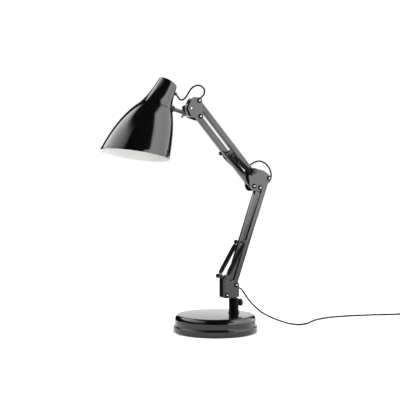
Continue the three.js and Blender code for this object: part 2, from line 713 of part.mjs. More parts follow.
function glandPlace() {
  const at = (degrees) => {
    const lean = THREE.MathUtils.degToRad(degrees);
    return new THREE.Vector3(Math.cos(lean), 0, -Math.sin(lean));
  };
  const tilt = neckTilt(GLAND_V);
  const origin = inPlane(neckCentre(GLAND_V)).addScaledVector(at(tilt), neckRadius(GLAND_V));
  return { origin, outward: at(tilt + GLAND_DROOP) };
}

function buildShade() {
  const { origin, outward } = glandPlace();
  const drill = (radius, at, along) => turnedAlong(
    [[0, -5], [radius, -5], [radius, 5], [0, 5]], at, along, 16);
  const linkWay = new THREE.Vector3(1, 0, -0.22).normalize();
  const neck = cut(shadeNeck(), drill(2.6, origin, outward));
  add('shade_neck', neck, shadeEnamel);
  add('shade_bell', shadeBell(), shadeEnamel);

  const gland = turnedAlong(
    [[LOOP_RADIUS + GAP, -2.4], [2.3, -2.4], [2.3, 1.6], [3.6, 1.6], [3.6, 2.6], [2.8, 4.4],
      [LOOP_RADIUS + GAP, 4.4], [LOOP_RADIUS + GAP, -2.4]],
    origin, outward, 12);
  add('shade_cable_gland', gland, blackRubber);

  // A foot plate on the shade, a round link, and a knuckle between the head plates
  const from = inPlane(LINK_SIDE);
  const reach = inPlane(TILT).sub(from).dot(linkWay);
  const link = turnedAlong(
    [[0, 0.6], [6.2, 0.6], [6.2, 1.8], [4.6, 3.4], [3.6, 6], [3.6, reach - 10], [4.4, reach - 8],
      [4.4, reach - 6], [0, reach - 6]],
    from, linkWay, 16);
  const knuckle = slab(bandAround([
    { at: TILT.clone().add(new THREE.Vector2(7.2, 13)), radius: 2 },
    { at: TILT.clone().add(new THREE.Vector2(-7.6, 4)), radius: 2.4 },
    { at: TILT.clone().add(new THREE.Vector2(-7, -11.5)), radius: 1.6 },
    { at: TILT.clone().add(new THREE.Vector2(4, -12)), radius: 2.4 },
  ]), -6, 6);
  add('head_link', cut(join(link, knuckle), pinHole(TILT, BOLT_RADIUS + GAP, 10)), satinBlack);
}

function buildLampholder() {
  const origin = inPlane(CAP_CENTRE);
  const axis = inPlane(HOLDER_AXIS);
  const holder = turnedAlong(
    [[0, 5], [10.5, 5], [12.5, 7], [12.5, 17], [16.2, 20], [16.2, 46], [14, 46], [14, 25], [0, 25]],
    origin, axis, 20);
  add('lampholder', holder, porcelain);

  const screwCap = turnedAlong(
    [[0, 26.5], [4, 26.5], [5, 28.5], [12.6, 32], [13.3, 34], [12.8, 36], [13.3, 38], [12.8, 40],
      [13.3, 42], [13.3, 51.5], [0, 51.5]],
    origin, axis, 16);
  add('bulb_cap', screwCap, brass);

  // A blown glass globe, open at its neck
  const globeRadius = 27.5;
  const globeCentre = 97;
  const neck = 51.8;
  const glass = 1;
  const ball = (radius, from, to, steps) => roundedEdge(0, globeCentre, radius, from, to, steps);
  const globe = [
    [12.8, neck], [14.5, 58], ...ball(globeRadius, -53, 90, 7),
    ...ball(globeRadius - glass, 90, -53, 6), [14.5 - glass, 58], [12.8 - glass, neck], [12.8, neck],
  ];
  globe[9][0] = 0;
  globe[10][0] = 0;
  add('bulb_globe', turnedAlong(globe, origin, axis, 20), bulbGlass);
}

// ---------------------------------------------------------------------------------------
// Cables, cord, switch and plug
// ---------------------------------------------------------------------------------------

const spot = (x, y, z) => new THREE.Vector3(x, y, z);

// From the upper rod over the elbow and down behind the elbow's right pivot
const ELBOW_LOOP = [
  spot(73.6, 0, 310.4), spot(78, 0, 313.2), spot(86.5, 0, 317.5), spot(97, 0, 319.6),
  spot(108.5, 0, 316), spot(117, 0, 308.5), spot(121.8, 0, 299.5), spot(122.8, 0, 290.8),
  spot(120.3, 0, 283.2), spot(116.2, 0, 278.2),
];

// From the top of the head plates, over and down into the neck's gland
const HEAD_LOOP = [
  spot(-34.4, 0, 428.4), spot(-30.4, 0, 431.9), spot(-25.6, 0, 436.6), spot(-22.8, 0, 442.3),
  spot(-23.5, 0, 448.2), spot(-27.4, 0, 452.3), spot(-33.1, 0, 454.3), spot(-39, 0, 453.8),
  spot(-44.8, 0, 451.3), spot(-50, 0, 447), spot(-54.6, 0, 440.7), spot(-58.8, 0, 433.8),
  spot(-63.4, 0, 428.1), spot(-68.9, 0, 425.2), spot(-73.3, 0, 426.2), spot(-76.6, 0, 429.8),
  spot(-79.8, 0, 433.7),
];

const FLOOR = CORD_RADIUS + 0.15;

// Out of the bracket and down to the table
const CORD_DROP = [
  spot(51.3, 0, 78.3), spot(56, 0, 75.4), spot(64, 0, 65.2), spot(74, 0, 52.4),
  spot(86, -0.5, 40.6), spot(99, -1, 30), spot(113, -2, 22), spot(127, -4, 15.3),
  spot(141, -6.5, 9.8), spot(153, -9.4, 5.8), spot(164, -12.2, 3.2),
];

// Along the table, away to the right
const CORD_RUN = [
  spot(164.5, -12.3, 3.1), spot(177, -14.8, FLOOR), spot(191, -14.5, FLOOR),
  spot(205, -7.5, FLOOR), spot(218, 2.5, FLOOR), spot(234, 13.5, FLOOR),
  spot(254, 24, FLOOR), spot(280, 32, FLOOR), spot(310, 34.5, FLOOR), spot(345, 31, FLOOR),
  spot(385, 22, FLOOR), spot(425, 10, FLOOR), spot(452, 0.6, FLOOR + 0.6), spot(465, -4.2, 4.4),
];

// From the switch round to the coil
const CORD_LINK = [
  spot(516.6, -23.4, 4.4), spot(527.5, -27.6, 3), spot(538.4, -35, FLOOR + COIL_LIFT / 2),
  spot(546, -46, FLOOR + COIL_LIFT), spot(549, -58, FLOOR + COIL_LIFT),
];

// From the coil to the plug
const CORD_TAIL = [
  spot(495, -72, 10.4), spot(494.7, -66.5, 9.3), spot(492.8, -61, 8.4),
  spot(489.2, -56.6, 7.6), spot(484.4, -53.9, 7.1), spot(478.3, -53, 7),
];

const SWITCH_CENTRE = spot(490.8, -13.8, 0);
const SWITCH_HEADING = Math.atan2(-19.2, 51.6);
const COIL_CENTRE = spot(522, -66, 0);
const PLUG_CENTRE = spot(457, -53, 0);
const TIE_TURN = 1.2; // place of the tie round the coil, in radians

function buildLoops() {
  add('elbow_cable_loop', strand(ELBOW_LOOP, LOOP_RADIUS, 22), cordSheath);
  add('head_cable_loop', strand(HEAD_LOOP, LOOP_RADIUS, 32), cordSheath);
}

// The same cable where it runs inside a rod
function rodCable(start, end) {
  const along = end.clone().sub(start).normalize();
  const clear = 8;
  const from = start.clone().addScaledVector(along, clear);
  const to = end.clone().addScaledVector(along, -clear);
  return strand([inPlane(from), inPlane(from.clone().lerp(to, 0.5)), inPlane(to)], LOOP_RADIUS, 4);
}

function buildRodCables() {
  add('lower_rod_cable', rodCable(BRACKET_RIGHT, ELBOW_RIGHT), cordSheath);
  add('upper_rod_cable', rodCable(ELBOW_KNOB, HEAD_UPPER), cordSheath);
}

function buildCord() {
  add('mains_cord_drop', strand(CORD_DROP, CORD_RADIUS, 20), cordSheath);
  add('mains_cord', strand(CORD_RUN, CORD_RADIUS, 38), cordSheath);
  add('mains_cord_link', strand(CORD_LINK, CORD_RADIUS, 8), cordSheath);
  add('mains_cord_tail', strand(CORD_TAIL, CORD_RADIUS, 10), cordSheath);
}

// A flat two-part switch housing that the cord runs through, with a rocker on top
function buildSwitch() {
  const place = (geometry) => geometry.rotateZ(SWITCH_HEADING)
    .translate(SWITCH_CENTRE.x, SWITCH_CENTRE.y, 0);
  const housing = new THREE.ExtrudeGeometry(roundedRectangle(-25, 25, -10.5, 10.5, 7), {
    depth: 11, bevelEnabled: true, bevelSize: 1.5, bevelThickness: 1.5, bevelOffset: -1.5,
    bevelSegments: 2, curveSegments: 4,
  }).translate(0, 0, 1.6);
  const well = block(-9, 9, -6, 6, 8, 20);
  add('switch_housing', place(cut(housing, well)), blackPlastic);

  const rocker = new THREE.Shape();
  rocker.moveTo(-8.4, 9.4);
  rocker.lineTo(8.4, 9.4);
  rocker.lineTo(8.4, 13.4);
  rocker.quadraticCurveTo(0, 14.2, -8.4, 17);
  const key = slab(rocker, -5.5, 5.5);
  add('switch_rocker', place(key), blackPlastic);
}

// A slim plug for ungrounded lamps: flat body, tapered tail and two round pins
function buildPlug() {
  const { x, y } = PLUG_CENTRE;
  const body = new THREE.Shape();
  body.moveTo(16, -3.2);
  body.lineTo(4, -10);
  body.lineTo(-18, -17);
  body.lineTo(-18, 17);
  body.lineTo(4, 10);
  body.lineTo(16, 3.2);
  const shell = new THREE.ExtrudeGeometry(body, {
    depth: 10.6, bevelEnabled: true, bevelSize: 1.6, bevelThickness: 1.6, bevelOffset: -1.6,
    bevelSegments: 2,
  }).translate(x, y, 1.7);
  const sleeve = turnedAlong(
    [[0, 0], [4.6, 0], [4.6, 4], [2.7, 13.5], [0, 13.5]],
    spot(x + 7, y, 7), spot(1, 0, 0), 16);
  add('plug_body', join(shell, sleeve), blackPlastic);

  const face = x - 18 - GAP;
  [['left', -9.3], ['right', 9.3]].forEach(([name, side]) => {
    const pin = turnedAlong(
      [[0, 0], [2, 0], [2, 17], [1.2, 18.7], [0, 19]],
      spot(face, y + side, 7), spot(-1, 0, 0), 14);
    add(`plug_pin_${name}`, pin, brass);
  });
}

function buildCoil() {
  const { x, y } = COIL_CENTRE;
  const inner = COIL_MEAN_RADIUS - COIL_HALF_WIDTH;
  const outer = COIL_MEAN_RADIUS + COIL_HALF_WIDTH;
  const low = FLOOR - CORD_RADIUS + COIL_LIFT;
  const top = low + COIL_HEIGHT;
  const ring = turnedUpright(
    [[inner, low + 1.4], [inner + 1.4, low], [outer - 1.4, low], [outer, low + 1.4],
      [outer, top - 1.4], [outer - 1.4, top], [inner + 1.4, top], [inner, top - 1.4],
      [inner, low + 1.4]],
    x, y, 28);
  add('mains_cord_coil', ring, cordSheath);

  const sag = 0.5; // how far the ring bows out across the tie's width
  const [x0, x1] = [x - outer - GAP, x - inner + GAP + sag];
  const [z0, z1] = [low - GAP, top + GAP];
  const half = TIE_WIDTH / 2;
  const band = block(
    x0 - TIE_THICKNESS, x1 + TIE_THICKNESS, -half, half, z0 - TIE_THICKNESS, z1 + TIE_THICKNESS);
  const tie = cut(band, block(x0, x1, -half - 1, half + 1, z0, z1));
  add('mains_cord_tie', tie.translate(-x, 0, 0).rotateZ(TIE_TURN).translate(x, y, 0), blackRubber);
}

buildBase();
buildPost();
buildSwivel();
buildArms();
buildElbow();
buildHead();
buildShade();
buildLampholder();
buildLoops();
buildRodCables();
buildCord();
buildSwitch();
buildCoil();
buildPlug();

export default lamp;
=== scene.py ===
"""A swing arm desk lamp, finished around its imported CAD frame.

Metres, +Z up. The arms move in the XZ plane, the shade is on the -X side. The CAD holds the
sizes, the joints and the flat sheet parts. This script adds the round parts at full smoothness,
the coil springs, the cables and the mains cord, the enamel, steel, rubber and plastic, and the
camera, light and floor.
"""

import math

import bmesh
import bpy
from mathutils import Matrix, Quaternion, Vector


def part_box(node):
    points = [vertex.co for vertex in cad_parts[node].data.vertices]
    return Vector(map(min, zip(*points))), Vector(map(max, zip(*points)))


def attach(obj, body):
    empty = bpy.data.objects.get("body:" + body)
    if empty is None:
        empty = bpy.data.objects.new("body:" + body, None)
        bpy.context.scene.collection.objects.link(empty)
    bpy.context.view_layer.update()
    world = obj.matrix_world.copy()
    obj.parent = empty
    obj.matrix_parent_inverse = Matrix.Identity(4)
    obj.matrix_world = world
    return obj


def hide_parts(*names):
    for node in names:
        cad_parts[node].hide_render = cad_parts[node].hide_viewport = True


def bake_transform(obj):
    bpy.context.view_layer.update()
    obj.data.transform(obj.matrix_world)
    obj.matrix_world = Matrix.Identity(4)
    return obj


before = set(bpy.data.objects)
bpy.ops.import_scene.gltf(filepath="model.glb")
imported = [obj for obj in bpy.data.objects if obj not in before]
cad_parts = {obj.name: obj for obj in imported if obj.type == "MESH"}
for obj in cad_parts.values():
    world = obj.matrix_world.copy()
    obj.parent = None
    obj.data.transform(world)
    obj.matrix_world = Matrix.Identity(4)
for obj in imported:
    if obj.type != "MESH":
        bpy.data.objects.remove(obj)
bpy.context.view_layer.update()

# ---- Sizes, repeated from the CAD ----

GAP = 0.0003

BASE_RADIUS = 0.078
BASE_HEIGHT = 0.032
BASE_STEP = 0.0027
FLANGE_HEIGHT = 0.012
ROLL_RADIUS = 0.0065
ROLL_HEIGHT = 0.0095
COVER_WALL = 0.0012
PAD_HEIGHT = 0.0025
POST_X = 0.0395
POST_RADIUS = 0.00925
POST_TOP = 0.0593
STEM_RADIUS = 0.006
CLAMP_Z = 0.051

PLATE_OUTER = 0.0098
PLATE_THICKNESS = 0.0015
BOLT_RADIUS = 0.002
ROD_HALF = 0.0045


def leaning(start, degrees, length):
    """The point in the XZ plane that lies length from start, leaning from upright to +X."""
    lean = math.radians(degrees)
    return start + Vector((math.sin(lean), 0, math.cos(lean))) * length


def in_plane(x, z):
    return Vector((x, 0, z))


LOWER_LEAN = 19.7
UPPER_LEAN = -42.4
LOWER_OFFSET = in_plane(0.020, 0.0183)
UPPER_OFFSET = in_plane(-0.0023, 0.0285)
BRACKET_LEFT = in_plane(0.0195, 0.0667)
BRACKET_RIGHT = BRACKET_LEFT + LOWER_OFFSET
ELBOW_LEFT = leaning(BRACKET_LEFT, LOWER_LEAN, 0.214)
ELBOW_RIGHT = ELBOW_LEFT + LOWER_OFFSET
ELBOW_UPPER_ARM = ELBOW_LEFT + in_plane(-0.013, 0.0027)
ELBOW_KNOB = ELBOW_UPPER_ARM + UPPER_OFFSET
HEAD_LOWER = leaning(ELBOW_UPPER_ARM, UPPER_LEAN, 0.170)
HEAD_UPPER = HEAD_LOWER + UPPER_OFFSET
TILT = HEAD_LOWER + in_plane(-0.0197, 0.0129)

SPRING_RADIUS = 0.0047
SPRING_WIRE = 0.0007
SPRING_Y = 0.015
SPRING_PIN_REACH = 0.020
SPRING_PIN_RADIUS = 0.0016
SPRING_CAP_RADIUS = 0.0042
SPRING_CAP_LENGTH = 0.0034
STUD_CAP_RADIUS = 0.0023
LOWER_SPRING_PIN = leaning(BRACKET_LEFT, LOWER_LEAN, 0.104)
LOWER_SPRING_ANCHOR = in_plane(0.0152, 0.101)
UPPER_SPRING_PIN = leaning(ELBOW_UPPER_ARM, UPPER_LEAN, 0.084)
UPPER_SPRING_ANCHOR = ELBOW_KNOB + in_plane(-0.0066, -0.0056)

CAP_CENTRE = in_plane(-0.0971, 0.4528)
SEAM_CENTRE = in_plane(-0.1198, 0.4081)
BELL_BOW = in_plane(-0.1382, 0.3796)
RIM_CENTRE = in_plane(-0.160, 0.3225)
CAP_TILT = 29
SEAM_TILT = 17
RIM_TILT = 8.3
CAP_RADIUS = 0.0179
SEAM_RADIUS = 0.031
RIM_RADIUS = 0.0615
NECK_SPREAD = 0.0066
NECK_FLARE = 3.4
BELL_SPREAD = 0.041
DOME_HEIGHT = 0.004
SHADE_WALL = 0.001
GLAND_V = 0.165
GLAND_DROOP = 15

CORD_RADIUS = 0.0016
LOOP_RADIUS = 0.0015
FLOOR = CORD_RADIUS + 0.00015
COIL_LIFT = 0.0012
COIL_CENTRE = Vector((0.522, -0.066, 0))
COIL_MEAN_RADIUS = 0.0192
SWITCH_CENTRE = Vector((0.4908, -0.0138, 0))
SWITCH_HEADING = math.atan2(-19.2, 51.6)
PLUG_CENTRE = Vector((0.457, -0.053, 0.007))

SIDEWAYS = Vector((0, 1, 0))
UPRIGHT = Vector((0, 0, 1))
RIGHT = Vector((1, 0, 0))


def linked(name, data):
    """A new object with this data, linked into the scene."""
    made = bpy.data.objects.new(name, data)
    bpy.context.scene.collection.objects.link(made)
    return made


# ---- Camera ----

EYE_HEIGHT = 0.2217
CAMERA_PLACE = (-0.6165, -1.1471, EYE_HEIGHT)
CAMERA_TURN = math.radians(-27)  # from looking along +Y
LENS, SENSOR = 63, 36  # millimetres


def make_camera():
    camera = linked("camera", bpy.data.cameras.new("camera"))
    camera.location = CAMERA_PLACE
    camera.rotation_euler = (math.radians(90), 0, CAMERA_TURN)
    camera.data.sensor_width = SENSOR
    camera.data.lens = LENS
    camera.data.shift_y = 0.03
    bpy.context.scene.camera = camera


make_camera()

# ---- Materials ----


def feed(tree, socket, value):
    """Sets a socket, or links it when the value is another node's output."""
    if isinstance(value, bpy.types.NodeSocket):
        tree.links.new(value, socket)
    else:
        socket.default_value = value


def add_node(tree, kind, **inputs):
    """A new shader node whose inputs are fed with values or other nodes' outputs."""
    made = tree.nodes.new(f"ShaderNode{kind}")
    for name, value in inputs.items():
        feed(tree, made.inputs[name.replace("_", " ")], value)
    return made


def surface(name, dark, light, rough, grain, bump, stretch=(1, 1, 1), **sockets):
    """A Principled material whose colour, roughness and relief vary with one fine noise.

    dark and light are the two colours or greys it varies between, rough the two roughnesses,
    grain the noise scale per metre and bump the depth of its relief in metres.
    """
    material = bpy.data.materials.new(name)
    material.use_nodes = True
    tree = material.node_tree
    place = add_node(tree, "TexCoord").outputs["Object"]
    place = add_node(tree, "Mapping", Vector=place, Scale=stretch).outputs["Vector"]
    noise = add_node(tree, "TexNoise", Vector=place, Scale=grain, Detail=3).outputs["Fac"]
    colours = add_node(tree, "ValToRGB", Fac=noise)
    stops = zip(colours.color_ramp.elements, (0.35, 0.7), (dark, light))
    for stop, position, colour in stops:
        stop.position = position
        stop.color = (*colour, 1) if isinstance(colour, tuple) else (colour, colour, colour, 1)
    cloud = add_node(tree, "TexNoise", Vector=place, Scale=grain / 12).outputs["Fac"]
    spread = add_node(tree, "MapRange", Value=cloud, To_Min=rough[0], To_Max=rough[1])
    relief = add_node(tree, "Bump", Height=noise, Distance=bump, Strength=1.0)
    sockets["Base_Color"] = colours.outputs["Color"]
    sockets["Roughness"] = spread.outputs["Result"]
    sockets["Normal"] = relief.outputs["Normal"]
    shader = tree.nodes["Principled BSDF"]
    for socket, value in sockets.items():
        feed(tree, shader.inputs[socket.replace("_", " ")], value)
    return material


MATERIALS = {
    "gloss_enamel": surface(
        "gloss_black_enamel", (0.0016, 0.0016, 0.0017), (0.0026, 0.0026, 0.0027), (0.07, 0.13),
        420, 0.000004, Specular_IOR_Level=0.55),
    "satin_enamel": surface(
        "satin_black_enamel", (0.0030, 0.0031, 0.0031), (0.0048, 0.0050, 0.0050), (0.16, 0.24),
        900, 0.000008, Specular_IOR_Level=0.6),
    "matt_black": surface(
        "matt_black", 0.001, 0.002, (0.4, 0.5), 1200, 0.00001, Specular_IOR_Level=0.06),
    "white_enamel": surface(
        "white_enamel", (0.65, 0.65, 0.64), (0.70, 0.70, 0.69), (0.38, 0.5), 700, 0.00001),
    "black_plastic": surface("black_plastic", 0.004, 0.007, (0.36, 0.5), 2600, 0.00003),
    "rubber": surface("rubber", 0.010, (0.018, 0.018, 0.017), (0.6, 0.8), 1800, 0.00004),
    "cable_sheath": surface(
        "cable_sheath", 0.002, 0.004, (0.42, 0.55), 1200, 0.00002, Specular_IOR_Level=0.08),
    "bright_steel": surface(
        "bright_steel", (0.52, 0.52, 0.53), (0.68, 0.68, 0.69), (0.16, 0.3), 1600, 0.000008,
        stretch=(1, 6, 1), Metallic=1.0),
    "spring_steel": surface(
        "spring_steel", 0.004, 0.008, (0.38, 0.5), 1500, 0.000008, Specular_IOR_Level=0.12),
    "cast_iron": surface(
        "cast_iron", (0.035, 0.035, 0.036), (0.065, 0.063, 0.06), (0.6, 0.8), 500, 0.00015,
        Metallic=0.6),
    "brass": surface(
        "brass", (0.50, 0.36, 0.15), (0.66, 0.49, 0.24), (0.18, 0.32), 1400, 0.000008,
        Metallic=1.0),
    "porcelain": surface(
        "white_holder", (0.72, 0.71, 0.67), (0.80, 0.79, 0.75), (0.2, 0.34), 800, 0.00001),
    "opal_glass": surface(
        "opal_glass", (0.86, 0.85, 0.81), (0.92, 0.91, 0.88), (0.16, 0.24), 300, 0.000004,
        Coat_Weight=0.4, Coat_Roughness=0.05),
}

# ---- Mesh helpers ----

SMOOTH_BELOW = math.radians(38)


def piece(name, points, faces, finish, white_faces=()):
    """A smooth mesh object. white_faces, if any, are white enamel."""
    mesh = bpy.data.meshes.new(name)
    mesh.from_pydata([tuple(p) for p in points], [], faces)
    mesh.materials.append(MATERIALS[finish])
    if white_faces:
        mesh.materials.append(MATERIALS["white_enamel"])
        for index in white_faces:
            mesh.polygons[index].material_index = 1
    work = bmesh.new()
    work.from_mesh(mesh)
    bmesh.ops.remove_doubles(work, verts=work.verts, dist=1e-7)
    bmesh.ops.recalc_face_normals(work, faces=work.faces)
    work.to_mesh(mesh)
    work.free()
    mesh.shade_smooth()
    mesh.set_sharp_from_angle(angle=SMOOTH_BELOW)
    made = linked(name, mesh)
    return made


def stands_for(made, body, node=None):
    """The piece moves with the body and takes the place of the CAD node, if any."""
    if node:
        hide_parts(node)
    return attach(made, body)


def skin(rings, looped=False, capped=True):
    """Points and faces through rings of points. The ends are joined, capped or left open."""
    count = len(rings[0])
    points = [p for ring in rings for p in ring]
    pairs = [(r * count, (r + 1) * count) for r in range(len(rings) - 1)]
    if looped:
        pairs.append((len(points) - count, 0))
    faces = [
        (low + k, high + k, high + (k + 1) % count, low + (k + 1) % count)
        for low, high in pairs for k in range(count)
    ]
    if capped:
        faces.append(tuple(reversed(range(count))))
        faces.append(tuple(range(len(points) - count, len(points))))
    return points, faces


def circle(centre, across, up, radius, count):
    """Points round a circle whose plane holds the directions across and up."""
    angles = [2 * math.pi * k / count for k in range(count)]
    return [centre + (across * math.cos(a) + up * math.sin(a)) * radius for a in angles]


def softened(outline, size, steps=3):
    """An open outline with each corner rounded over about size."""
    points = [Vector(p) for p in outline]
    out = [points[0]]
    for before, at, after in zip(points, points[1:], points[2:]):
        back, ahead = before - at, after - at
        cut = min(size, 0.45 * back.length, 0.45 * ahead.length)
        start, end = at + back.normalized() * cut, at + ahead.normalized() * cut
        for k in range(steps + 1):
            t = k / steps
            out.append(start.lerp(at, t).lerp(at.lerp(end, t), t))
    out.append(points[-1])
    return out


def looped(outline):
    """An outline that ends where it starts."""
    return [*outline, outline[0].copy()]


def turned(body, node, name, profile, origin, axis, finish, segments=48, wave=None):
    """A part turned about an axis, which rides on body and stands for the CAD node, if any.

    The profile is (radius, distance along the axis). It starts and ends on the axis, or closes
    on itself. wave is (count, depth, least radius): the surface outside that radius gets count
    lobes of that depth.
    """
    turn = UPRIGHT.rotation_difference(axis)
    points, rings = [], []
    closed = (Vector(profile[0]) - Vector(profile[-1])).length < 1e-9
    for radius, along in profile[:-1] if closed else profile:
        sides = segments if radius > 1e-7 else 1
        rings.append(list(range(len(points), len(points) + sides)))
        for k in range(sides):
            angle = 2 * math.pi * k / segments
            out = radius
            if wave and radius > wave[2]:
                out += wave[1] * math.cos(wave[0] * angle)
            points.append(origin + turn @ Vector((out * math.cos(angle), out * math.sin(angle), along)))
    faces = []
    for a, b in zip(rings, [*rings[1:], rings[0]] if closed else rings[1:]):
        for k in range(segments):
            n = (k + 1) % segments
            corners = (a[k % len(a)], b[k % len(b)], b[n % len(b)], a[n % len(a)])
            if len(set(corners)) > 2:
                faces.append(tuple(dict.fromkeys(corners)))
    return stands_for(piece(name, points, faces, finish), body, node)


def smooth_line(points, per_span):
    """A centripetal Catmull-Rom line through points, with per_span steps between each two."""
    first = points[0] * 2 - points[1]
    last = points[-1] * 2 - points[-2]
    line = []
    around = [first, *points, last]
    for p0, p1, p2, p3 in zip(around, around[1:], around[2:], around[3:]):
        t1 = (p1 - p0).length ** 0.5
        t2 = t1 + (p2 - p1).length ** 0.5
        t3 = t2 + (p3 - p2).length ** 0.5
        for k in range(per_span):
            t = t1 + (t2 - t1) * k / per_span
            second = p1.lerp(p2, (t - t1) / (t2 - t1))
            before = p0.lerp(p1, t / t1).lerp(second, t / t2)
            after = second.lerp(p2.lerp(p3, (t - t2) / (t3 - t2)), (t - t1) / (t3 - t1))
            line.append(before.lerp(after, (t - t1) / (t2 - t1)))
    line.append(points[-1].copy())
    return line


def swept(name, line, radius, finish, sides=14):
    """A round bar along a line of points, with slightly rounded ends."""
    directions = []
    for k in range(len(line)):
        before, after = line[max(k - 1, 0)], line[min(k + 1, len(line) - 1)]
        directions.append((after - before).normalized())
    across = directions[0].orthogonal().normalized()
    edge = 0.15 * radius

    def ring(at, k, size):
        return circle(at, across, directions[k].cross(across), size, sides)

    rings = [ring(line[0], 0, radius - edge), ring(line[0] + directions[0] * edge, 0, radius)]
    for k in range(1, len(line)):
        across = directions[k - 1].rotation_difference(directions[k]) @ across
        inset = edge if k == len(line) - 1 else 0
        rings.append(ring(line[k] - directions[k] * inset, k, radius))
    rings.append(ring(line[-1], -1, radius - edge))
    return piece(name, *skin(rings), finish)


# ---- Cables and the mains cord ----

ELBOW_LOOP = [
    (0.0736, 0, 0.3104), (0.078, 0, 0.3132), (0.0865, 0, 0.3175), (0.097, 0, 0.3196),
    (0.1085, 0, 0.316), (0.117, 0, 0.3085), (0.1218, 0, 0.2995), (0.1228, 0, 0.2908),
    (0.1203, 0, 0.2832), (0.1162, 0, 0.2782),
]

HEAD_LOOP = [
    (-0.0344, 0, 0.4284), (-0.0304, 0, 0.4319), (-0.0256, 0, 0.4366), (-0.0228, 0, 0.4423),
    (-0.0235, 0, 0.4482), (-0.0274, 0, 0.4523), (-0.0331, 0, 0.4543), (-0.039, 0, 0.4538),
    (-0.0448, 0, 0.4513), (-0.05, 0, 0.447), (-0.0546, 0, 0.4407), (-0.0588, 0, 0.4338),
    (-0.0634, 0, 0.4281), (-0.0689, 0, 0.4252), (-0.0733, 0, 0.4262), (-0.0766, 0, 0.4298),
    (-0.0798, 0, 0.4337),
]

CORD_DROP = [
    (0.0513, 0, 0.0783), (0.056, 0, 0.0754), (0.064, 0, 0.0652), (0.074, 0, 0.0524),
    (0.086, -0.0005, 0.0406), (0.099, -0.001, 0.030), (0.113, -0.002, 0.022),
    (0.127, -0.004, 0.0153), (0.141, -0.0065, 0.0098), (0.153, -0.0094, 0.0058),
    (0.164, -0.0122, 0.0032),
]

CORD_RUN = [
    (0.177, -0.0148, FLOOR), (0.191, -0.0145, FLOOR),
    (0.205, -0.0075, FLOOR), (0.218, 0.0025, FLOOR), (0.234, 0.0135, FLOOR),
    (0.254, 0.024, FLOOR), (0.280, 0.032, FLOOR), (0.310, 0.0345, FLOOR), (0.345, 0.031, FLOOR),
    (0.385, 0.022, FLOOR), (0.425, 0.010, FLOOR), (0.452, 0.0006, FLOOR + 0.0006),
    (0.465, -0.0042, 0.0044),
]

CORD_LINK = [
    (0.5166, -0.0234, 0.0044), (0.5275, -0.0276, 0.003), (0.5384, -0.035, FLOOR + COIL_LIFT / 2),
    (0.546, -0.046, FLOOR + COIL_LIFT), (0.549, -0.058, FLOOR + COIL_LIFT),
    (0.5463, -0.0725, FLOOR + COIL_LIFT),
]

CORD_TAIL = [
    (0.5045, -0.0835, 0.0121), (0.495, -0.072, 0.0104), (0.4947, -0.0665, 0.0093),
    (0.4928, -0.061, 0.0084), (0.4892, -0.0566, 0.0076), (0.4844, -0.0539, 0.0071),
    (0.4783, -0.053, 0.007),
]

COIL_PITCH = 0.0034  # between turns that lie side by side
COIL_LAYER = 0.0033  # between turns that lie on each other
COIL_LAYERS = 4
COIL_TURNS = 13 / 6  # in each layer
COIL_STEP_UP = 0.5  # turns taken to climb from one layer to the next
COIL_START = math.radians(-45)
COIL_STEPS = 30  # points in each turn


def coil_line():
    """The wound cord: layers that spiral in and out by turns, clockwise from above."""
    half = COIL_PITCH * COIL_TURNS / 2
    line = []
    turned_so_far = 0.0

    def wind(turns, start, end, low, high):
        nonlocal turned_so_far
        steps = round(turns * COIL_STEPS)
        for k in range(steps):
            share = k / steps
            angle = COIL_START - 2 * math.pi * (turned_so_far + turns * share)
            radius = start + (end - start) * share
            line.append(COIL_CENTRE + Vector((
                radius * math.cos(angle), radius * math.sin(angle), low + (high - low) * share)))
        turned_so_far += turns

    for layer in range(COIL_LAYERS):
        height = FLOOR + COIL_LIFT + layer * COIL_LAYER
        inwards = layer % 2 == 0
        start = COIL_MEAN_RADIUS + (half if inwards else -half)
        end = COIL_MEAN_RADIUS - (half if inwards else -half)
        wind(COIL_TURNS, start, end, height, height)
        if layer < COIL_LAYERS - 1:
            wind(COIL_STEP_UP, end, end, height, height + COIL_LAYER)
    return line


def vectors(points):
    return [Vector(p) for p in points]


def make_cord():
    """The mains cord, from the bracket through the switch and the coil to the plug."""
    before = vectors([*CORD_DROP, *CORD_RUN, *CORD_LINK])
    coil = coil_line()
    after = vectors(CORD_TAIL)
    spans = 5
    lead_in = smooth_line([*before, coil[0], coil[1]], spans)[: -2 * spans]
    lead_out = smooth_line([coil[-2], coil[-1], *after], spans)[2 * spans:]
    line = [*lead_in, *coil, *lead_out]
    cord = swept("mains_flex", line, CORD_RADIUS, "cable_sheath", 12)
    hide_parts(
        "mains_cord_drop", "mains_cord", "mains_cord_link", "mains_cord_coil",
        "mains_cord_tail")
    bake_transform(cord)
    return cord, line


def make_loop(name, points, node):
    """A cable that loops freely from one arm part to the next."""
    line = smooth_line(vectors(points), 4)
    loop = swept(name, line, LOOP_RADIUS, "cable_sheath")
    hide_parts(node)
    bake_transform(loop)
    return loop


flex, flex_line = make_cord()
make_loop(
    "elbow_cable", ELBOW_LOOP, "elbow_cable_loop")
make_loop(
    "head_cable", HEAD_LOOP, "head_cable_loop")


def rod_cable(name, start, end, body, node):
    along = (end - start).normalized()
    clear = 0.008
    line = [start + along * clear, (start + end) / 2, end - along * clear]
    stands_for(swept(name, line, LOOP_RADIUS, "cable_sheath"), body, node)


rod_cable("lower_inner_cable", BRACKET_RIGHT, ELBOW_RIGHT, "lower_rod_right", "lower_rod_cable")
rod_cable("upper_inner_cable", ELBOW_KNOB, HEAD_UPPER, "upper_rod_upper", "upper_rod_cable")

# ---- Switch, plug and tie on the cord ----


